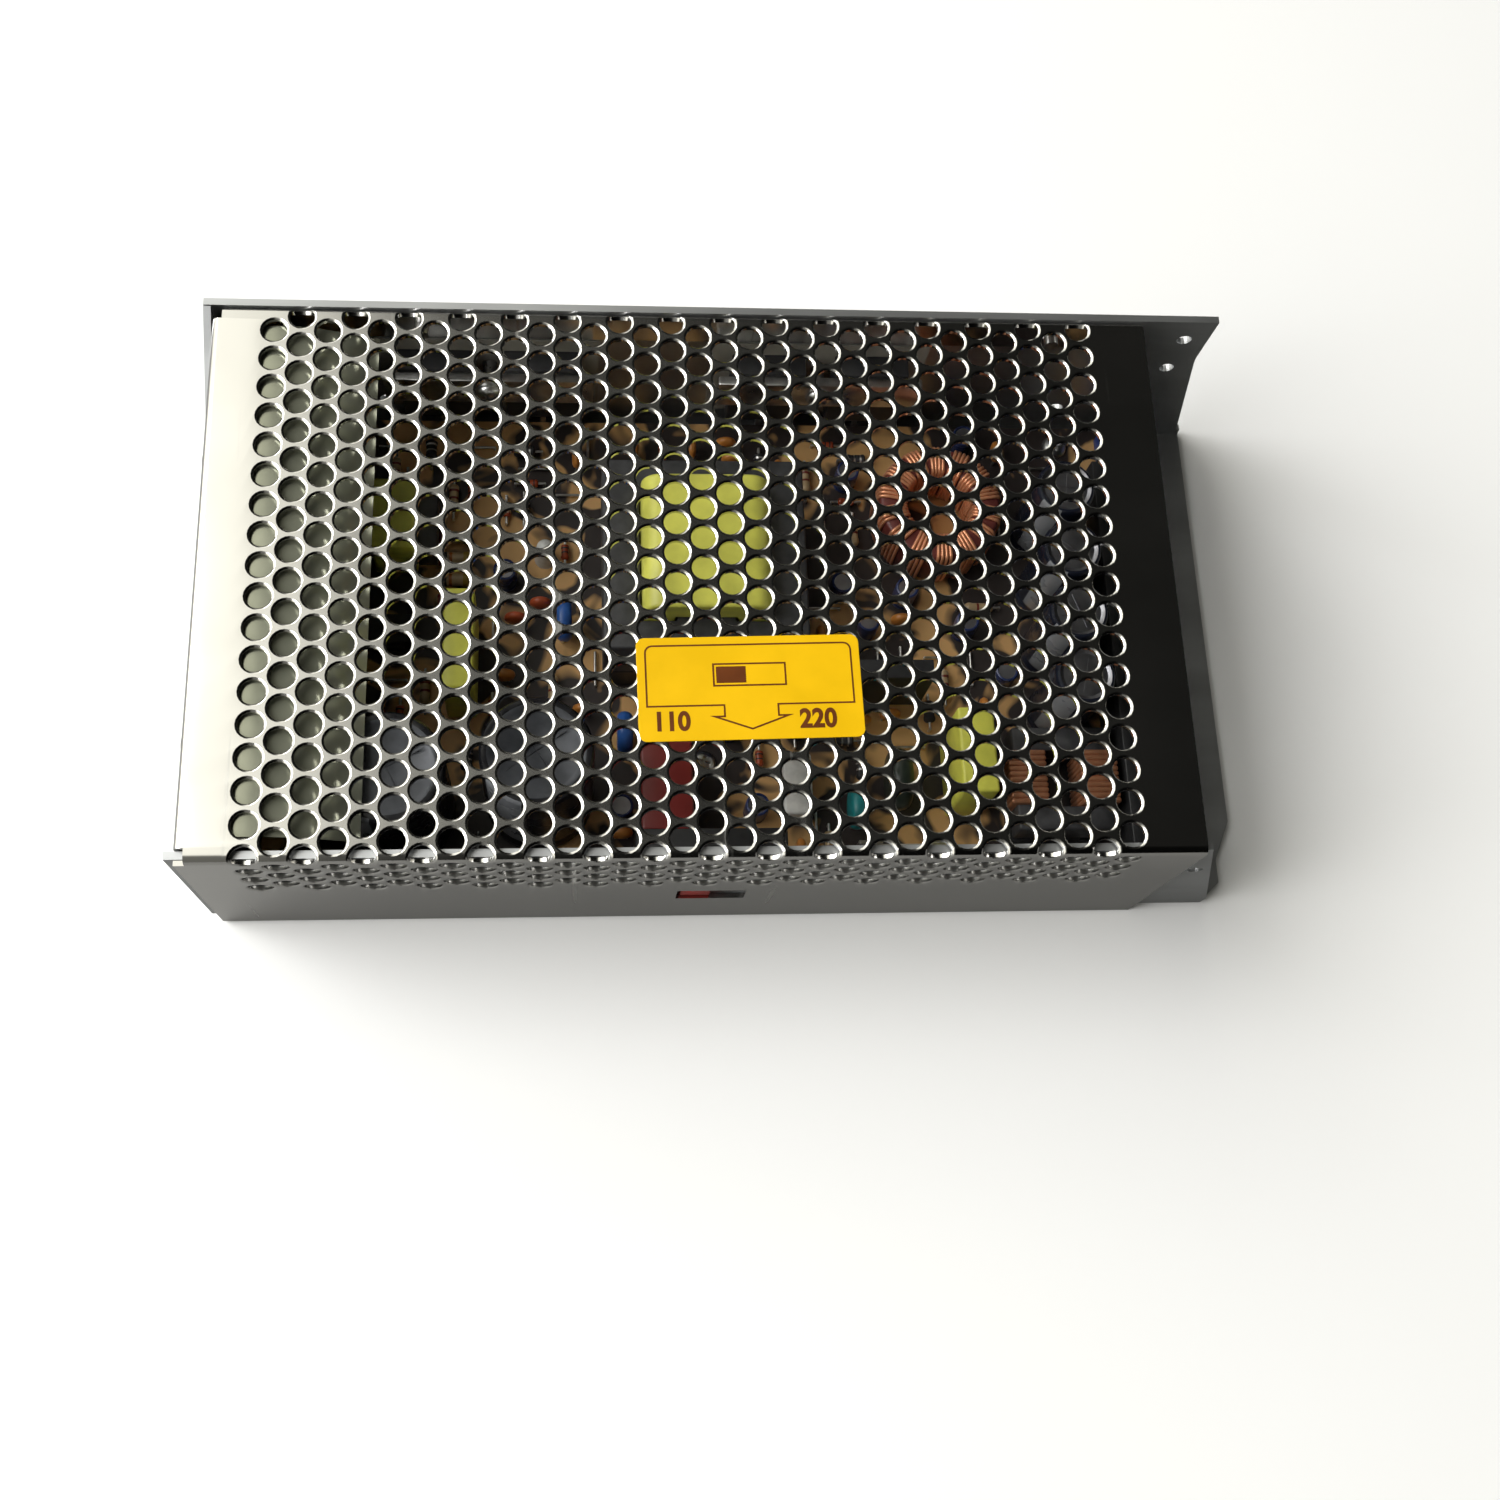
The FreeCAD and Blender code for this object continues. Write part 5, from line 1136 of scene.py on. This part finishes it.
class SUPPLY_OT_line_filter(bpy.types.Operator):
    """Finish the filter choke, fuse and the box capacitors."""

    bl_idname = "supply.line_filter"
    bl_label = "Line Filter"

    def execute(self, context):
        moulded("filter_choke_base", "filter_foot", 0.3, 1, plain("black_moulding"))
        moulded("filter_choke_core", "filter_ferrite", 0.5, 2, plain("ferrite"))
        coils = [self.coil("filter_coil_%d" % k, low, high)
                 for k, (low, high) in enumerate(loose_boxes("filter_choke_windings"))]
        seat(joined("filter_coils", coils), copper_wire("filter_wire", 0.6), "filter_choke_windings")
        for node, colour in (("filter_capacitor", (0.82, 0.81, 0.12)), ("film_capacitor", (0.82, 0.81, 0.12)),
                             ("snubber_capacitor", (0.24, 0.028, 0.024))):
            moulded(node, node + "_case", 0.7, 3, plain_case(node + "_resin", colour))
        low, high = span("fuse")
        radius = (high.z - low.z) / 2
        long = high.x - low.x
        cap = long * 0.24
        profile = [(0, 0), (radius * 0.9, 0), (radius, radius * 0.12), (radius, cap), (radius * 0.93, cap + 0.1 * MM),
                   (radius * 0.93, long - cap - 0.1 * MM), (radius, long - cap), (radius, long - radius * 0.12),
                   (radius * 0.9, long), (0, long)]
        tube_piece = turned("fuse_tube", profile, (low.x, (low.y + high.y) / 2, (low.z + high.z) / 2), 32, "X")
        paint(tube_piece, (coating("fuse_ceramic", (0.72, 0.70, 0.64)), plain("tinned_metal")),
              lambda f: 0 if low.x + cap < f.center.x < high.x - cap else 1)
        smooth(tube_piece)
        seat(tube_piece, None, "fuse")
        moulded("fuse_clips", "fuse_holders", 0.12, 1, plain("tinned_metal"))
        return {"FINISHED"}

    def coil(self, name, low, high):
        """Turns of round wire side by side along the longer way of a box."""
        long = 0 if high.x - low.x > high.y - low.y else 1
        count = max(4, round((high[long] - low[long]) / (1.1 * MM)))
        pitch = (high[long] - low[long]) / count
        top = high.copy()
        top[long] = low[long] + pitch
        turn = bevel(block(name, low, top), pitch * 0.42, 3)
        step = [0.0, 0.0, 0.0]
        step[long] = pitch
        return smooth(repeat(turn, count, step), 60)


class SUPPLY_OT_discs(bpy.types.Operator):
    """Dip the discs in their coatings and stand them on their leads."""

    bl_idname = "supply.discs"
    bl_label = "Disc Parts"

    def execute(self, context):
        for node, colour in (("safety_capacitors", (0.035, 0.13, 0.45)), ("varistor", (0.02, 0.26, 0.27)),
                             ("inrush_thermistor", (0.022, 0.034, 0.024))):
            coat = coating(node + "_coat", colour)
            piece = joined(node + "_dipped", [self.disc("%s_%d" % (node, k), low, high)
                                              for k, (low, high) in enumerate(loose_boxes(node))])
            paint(piece, (coat, plain("tinned_metal")),
                  lambda f: 1 if piece.data.attributes["lead"].data[f.index].value else 0)
            smooth(piece, 60)
            seat(piece, None, node)
        return {"FINISHED"}

    def disc(self, name, low, high):
        thick = high.x - low.x
        radius = (high.y - low.y) / 2
        middle = Vector(((low.x + high.x) / 2, (low.y + high.y) / 2, high.z - radius))
        rim = [(max(0.0, radius - thick * 0.36 * (1 - math.cos(math.radians(a)))) if abs(a) < 90 else 0.0,
                thick / 2 * math.sin(math.radians(a)) if abs(a) < 90 else math.copysign(thick * 0.5, a))
               for a in (-90, -80, -55, -28, 0, 28, 55, 80, 90)]
        body = turned(name + "_body", rim, middle, 40, "X")
        body.data.attributes.new("lead", "BOOLEAN", "FACE")
        leads = []
        for side in (-1, 1):
            y = middle.y + side * 2.5 * MM
            lead = tube("%s_lead_%d" % (name, side), (middle.x + side * thick * 0.12, y, (low.z + middle.z) / 2),
                        0.35 * MM, middle.z - low.z, 12)
            mark = lead.data.attributes.new("lead", "BOOLEAN", "FACE")
            mark.data.foreach_set("value", [True] * len(lead.data.polygons))
            leads.append(lead)
        return joined(name, [body] + leads)


class SUPPLY_OT_power_parts(bpy.types.Operator):
    """Finish the transistors, rectifiers, clamps and other packages."""

    bl_idname = "supply.power_parts"
    bl_label = "Power Parts"

    def execute(self, context):
        for node in ("switching_transistors", "output_rectifiers"):
            piece = soften(taken(node, node + "_packages"), 0.25 * MM, 2)
            low, high = span(node)
            lead_top, largest_lead_face = low.z + 6.2 * MM, 2e-5
            paint(piece, (plain("package_epoxy"), plain("tinned_metal")),
                  lambda f: 1 if f.center.z < lead_top and f.area < largest_lead_face else 0)
            seat(piece, None, node)
        moulded("clamp_bars", "clamp_strips", 0.3, 2, plain("zinc_plating"))
        moulded("bridge_rectifier", "bridge_package", 0.3, 2, plain("package_epoxy"))
        moulded("controller_chip", "controller_package", 0.2, 1, plain("package_epoxy"))
        moulded("ceramic_resistor", "cement_resistor", 0.5, 2, coating("white_cement", (0.74, 0.73, 0.69)))
        moulded("driver_core", "driver_ferrite", 0.4, 2, plain("ferrite"))
        moulded("driver_winding", "driver_tape", 0.7, 3, winding_tape())
        self.resistors()
        return {"FINISHED"}

    def resistors(self):
        body = coating("resistor_body", (0.50, 0.36, 0.20))
        bands = [coating("band_%d" % k, colour) for k, colour in enumerate(
            ((0.25, 0.02, 0.02), (0.02, 0.02, 0.02), (0.40, 0.12, 0.01), (0.45, 0.30, 0.05)))]
        pieces = []
        for k, (low, high) in enumerate(loose_boxes("resistors")):
            radius = (high.z - low.z) / 2
            long = high.x - low.x
            steps = [0.0, 0.03, 0.10, 0.18, 0.24, 0.32, 0.38, 0.46, 0.52, 0.60, 0.68, 0.76, 0.90, 0.97, 1.0]
            wide = [0.0, 0.70, 1.0, 1.0, 0.9, 0.84, 0.84, 0.84, 0.84, 0.84, 0.84, 0.9, 1.0, 0.70, 0.0]
            piece = turned("resistor_%d" % k, [(w * radius, s * long) for s, w in zip(steps, wide)],
                           (low.x, (low.y + high.y) / 2, (low.z + high.z) / 2), 24, "X")
            edges = [low.x + s * long for s in steps]

            def which(face, edges=edges):
                x = face.center.x
                for number, (a, b) in enumerate(((2, 3), (4, 5), (6, 7), (11, 12))):
                    if edges[a] < x < edges[b]:
                        return number + 1
                return 0
            paint(piece, [body] + bands, which)
            smooth(piece, 50)
            pieces.append(piece)
        seat(joined("resistors_banded", pieces), None, "resistors")


class SUPPLY_OT_board_bits(bpy.types.Operator):
    """Set small resistors, diodes, ceramic discs and links on the free places of the board."""

    bl_idname = "supply.board_bits"
    bl_label = "Small Board Parts"

    def execute(self, context):
        low, high = span("circuit_board")
        taken_up = []
        for node in sorted(frame["nodes"]):
            if node in ("chassis", "cover", "circuit_board", "insulating_sheet", "board_standoffs", "switch_label",
                        "cover_screws"):
                continue
            for box in loose_boxes(node):
                if box[0].z < high.z + 12 * MM:
                    taken_up.append((box[0].x, box[0].y, box[1].x, box[1].y))
        kinds = self.kinds(high.z)
        chance = random.Random(11)
        placed = self.set_bits(high.z, taken_up)
        for _ in range(BIT_TRIES):
            prototype, half = kinds[chance.choice(BIT_DRAWS)]
            turned_round = chance.random() < 0.5
            x = low.x + BIT_GRID * chance.randrange(3, int((high.x - low.x) / BIT_GRID) - 3)
            y = low.y + BIT_GRID * chance.randrange(3, int((high.y - low.y) / BIT_GRID) - 3)
            reach = (half[1], half[0]) if turned_round else half
            box = (x - reach[0], y - reach[1], x + reach[0], y + reach[1])
            off_board = box[0] < low.x + MM or box[2] > high.x - MM or box[1] < low.y + MM or box[3] > high.y - MM
            if off_board or self.meets(box, taken_up, 0.5 * MM):
                continue
            taken_up.append(box)
            move = Matrix.Translation((x, y, 0)) @ Matrix.Rotation(QUARTER_TURN if turned_round else 0, 4, "Z")
            placed.append(copied(prototype, "bit_%d" % len(placed), move))
            if len(placed) == BIT_COUNT:
                break
        for prototype, _ in kinds:
            bpy.data.objects.remove(prototype)
        seat(joined("board_bits", placed), None, "circuit_board", hides=False)
        return {"FINISHED"}

    def meets(self, box, others, room=0):
        """Whether a place on the board comes nearer than room to any other."""
        return any(box[0] < b[2] + room and box[2] > b[0] - room and box[1] < b[3] + room and box[3] > b[1] - room
                   for b in others)

    def set_bits(self, top, taken_up):
        """A dab of white silicone and two red discs that show through the vents."""
        dab = turned("bit_dab", [(0, 7.6 * MM), (1.1 * MM, 7.3 * MM), (1.8 * MM, 6.4 * MM), (2.1 * MM, 4.5 * MM),
                                 (2.0 * MM, 2.0 * MM), (2.4 * MM, 0), (0, 0)], (0, 0, top), 24)
        dab.data.materials.append(coating("silicone_dab", (0.80, 0.80, 0.76)))
        smooth(dab, 50)
        disc = self.standing_disc("bit_red_disc", top,
                                  (coating("disc_red", (0.62, 0.12, 0.045)), plain("tinned_metal")))
        placed = []
        for thing, half, x, y in ((dab, 2.4, -40.4, 19.7), (disc, 2.6, -41.4, 7.7), (disc, 2.6, -46.7, 4.3)):
            reach = half * MM
            box = (x * MM - reach, y * MM - reach, x * MM + reach, y * MM + reach)
            if self.meets(box, taken_up):
                raise ValueError("no room for a set part at %g, %g mm" % (x, y))
            taken_up.append(box)
            placed.append(copied(thing, "bit_set_%d" % len(placed), Matrix.Translation((x * MM, y * MM, 0))))
        for thing in (dab, disc):
            bpy.data.objects.remove(thing)
        return placed

    def kinds(self, top):
        wire = plain("tinned_metal")
        glass = coating("diode_glass", (0.42, 0.07, 0.02))
        clay = coating("disc_ceramic", (0.62, 0.24, 0.05))
        body = coating("small_resistor", (0.55, 0.40, 0.22))
        band = coating("small_band", (0.20, 0.03, 0.02))
        black = plain("package_epoxy")
        blue = sleeve("small_sleeve", (0.03, 0.05, 0.16), (0.02, 0.03, 0.09))
        return [(self.lying("bit_resistor", top, 1.15 * MM, 6.4 * MM, (body, band, wire)), (5.0 * MM, 1.3 * MM)),
                (self.lying("bit_diode", top, 1.3 * MM, 4.8 * MM, (black, wire, wire)), (4.2 * MM, 1.4 * MM)),
                (self.standing_disc("bit_disc", top, (clay, wire)), (2.8 * MM, 1.2 * MM)),
                (self.lying("bit_glass", top, 0.9 * MM, 3.6 * MM, (glass, black, wire)), (3.6 * MM, 1.0 * MM)),
                (self.link("bit_link", top, wire), (4.4 * MM, 0.6 * MM)),
                (self.small_can("bit_can", top, (blue, plain("can_metal"))), (2.7 * MM, 2.7 * MM))]

    def lying(self, name, top, radius, long, finishes):
        """A banded body on two bent leads."""
        height = top + radius + 0.4 * MM
        steps = (0.0, 0.04, 0.14, 0.24, 0.30, 0.42, 0.50, 0.70, 0.78, 0.90, 0.97, 1.0)
        wide = (0.0, 0.72, 1.0, 0.97, 0.88, 0.88, 0.88, 0.88, 0.97, 1.0, 0.72, 0.0)
        piece = turned(name, [(w * radius, (s - 0.5) * long) for s, w in zip(steps, wide)], (0, 0, height), 16, "X")
        paint(piece, finishes, lambda f: 1 if 0.0 < f.center.x / long + 0.5 - 0.70 < 0.08
              or 0.0 < f.center.x / long + 0.5 - 0.42 < 0.08 else 0)
        leads = []
        for side in (-1, 1):
            end = side * (long / 2 + 1.4 * MM)
            leads.append(tube(name + "_run", ((end + side * long / 2) / 2, 0, height), BIT_LEAD,
                              abs(end - side * long / 2) + 0.4 * MM, 8, "X"))
            leads.append(tube(name + "_drop", (end, 0, (height + top) / 2), BIT_LEAD, height - top + BIT_LEAD, 8))
        for lead in leads:
            paint(lead, finishes, lambda f: 2)
        return smooth(joined(name, [piece] + leads), 50)

    def standing_disc(self, name, top, finishes):
        radius, thick = 2.4 * MM, 1.0 * MM
        rim = [(0, -thick), (radius * 0.6, -thick * 0.95), (radius * 0.9, -thick * 0.6), (radius, 0),
               (radius * 0.9, thick * 0.6), (radius * 0.6, thick * 0.95), (0, thick)]
        piece = turned(name, rim, (0, 0, top + radius + 1.6 * MM), 20, "Y")
        paint(piece, finishes, lambda f: 0)
        leads = [tube(name + "_lead", (side * 1.2 * MM, 0, top + 1.3 * MM), 0.28 * MM, 2.6 * MM, 8)
                 for side in (-1, 1)]
        for lead in leads:
            paint(lead, finishes, lambda f: 1)
        return smooth(joined(name, [piece] + leads), 50)

    def link(self, name, top, finish):
        """A bare wire link, bent down at both ends."""
        run = tube(name, (0, 0, top + 0.9 * MM), BIT_LEAD, 7.6 * MM, 8, "X")
        drops = [tube(name + "_drop", (side * 3.65 * MM, 0, top + 0.45 * MM), BIT_LEAD, 0.9 * MM, 8)
                 for side in (-1, 1)]
        piece = joined(name, [run] + drops)
        piece.data.materials.append(finish)
        return smooth(piece, 50)

    def small_can(self, name, top, finishes):
        radius, tall = 2.5 * MM, 7.0 * MM
        profile = [(0, tall - 0.3 * MM), (radius * 0.75, tall - 0.3 * MM), (radius * 0.85, tall),
                   (radius * 0.97, tall - 0.2 * MM), (radius, tall - 0.8 * MM), (radius, 1.6 * MM),
                   (radius * 0.94, 1.2 * MM), (radius, 0.8 * MM), (radius * 0.97, 0), (0, 0)]
        piece = turned(name, profile, (0, 0, top), 24)
        paint(piece, finishes, lambda f: 1 if f.center.z > top + tall - 0.35 * MM
              and math.hypot(f.center.x, f.center.y) < radius * 0.76 else 0)
        return smooth(piece, 35)


class SUPPLY_OT_terminals(bpy.types.Operator):
    """Finish the terminal block, trimmer, lamp and voltage selector."""

    bl_idname = "supply.terminals"
    bl_label = "Terminals and Controls"

    def execute(self, context):
        for node, name, round_by, segments, finish in (
                ("terminal_block", "terminal_strip", 0.25, 2, plain("black_moulding")),
                ("terminal_clamps", "terminal_plates", 0.15, 1, plain("zinc_plating")),
                ("trimmer_body", "trimmer_case", 0.25, 2, plain_case("trimmer_blue", (0.02, 0.07, 0.32))),
                ("trimmer_rotor", "trimmer_knob", 0.15, 2, plain_case("trimmer_cream", (0.72, 0.66, 0.50))),
                ("selector_body", "selector_case", 0.25, 2, plain("black_moulding")),
                ("selector_slide", "selector_knob", 0.3, 2, plain_case("selector_red", (0.42, 0.022, 0.016)))):
            moulded(node, name, round_by, segments, finish)
        low, high = span("power_lamp")
        radius = (high.x - low.x) / 2
        tall = high.z - low.z
        profile = [(0, tall)] + [(radius * 0.86 * math.sin(a), tall - radius * 0.86 * (1 - math.cos(a)))
                                 for a in (0.3, 0.6, 0.9, 1.2, 1.5)]
        profile += [(radius * 0.86, tall * 0.18), (radius, tall * 0.17), (radius, 0.0), (0, 0)]
        lamp = turned("lamp_dome", profile, ((low.x + high.x) / 2, (low.y + high.y) / 2, low.z), 32)
        seat(smooth(lamp, 50), plain_case("lamp_green", (0.05, 0.42, 0.08)), "power_lamp")
        return {"FINISHED"}


class SUPPLY_PT_panel(bpy.types.Panel):
    """Lists the pieces of the power supply."""

    bl_label = "Power Supply"
    bl_idname = "SUPPLY_PT_panel"
    bl_space_type = "VIEW_3D"
    bl_region_type = "UI"
    bl_category = "Supply"

    def draw(self, context):
        for kind in PIECES:
            self.layout.operator(kind.bl_idname)
        for group in settings():
            box = self.layout.box()
            for name in group.__annotations__:
                box.prop(group, name)


GROUPS = (("supply_cover", CoverSizes), ("supply_label", LabelSizes), ("supply_colours", SupplyColours))
PIECES = (SUPPLY_OT_stage, SUPPLY_OT_chassis, SUPPLY_OT_cover, SUPPLY_OT_label, SUPPLY_OT_screws,
          SUPPLY_OT_electrolytics, SUPPLY_OT_output_choke, SUPPLY_OT_transformer, SUPPLY_OT_line_filter,
          SUPPLY_OT_discs, SUPPLY_OT_power_parts, SUPPLY_OT_board_bits, SUPPLY_OT_terminals)


def register():
    for _, group in GROUPS:
        bpy.utils.register_class(group)
    for kind in PIECES + (SUPPLY_PT_panel,):
        bpy.utils.register_class(kind)
    for name, group in GROUPS:
        setattr(bpy.types.Scene, name, bpy.props.PointerProperty(type=group))


def unregister():
    for name, _ in GROUPS:
        delattr(bpy.types.Scene, name)
    for kind in reversed(PIECES + (SUPPLY_PT_panel,)):
        bpy.utils.unregister_class(kind)
    for _, group in reversed(GROUPS):
        bpy.utils.unregister_class(group)


def main():
    random.seed(4)
    register()
    for kind in PIECES:
        group, name = kind.bl_idname.split(".")
        getattr(getattr(bpy.ops, group), name)()


if __name__ == "__main__":
    main()
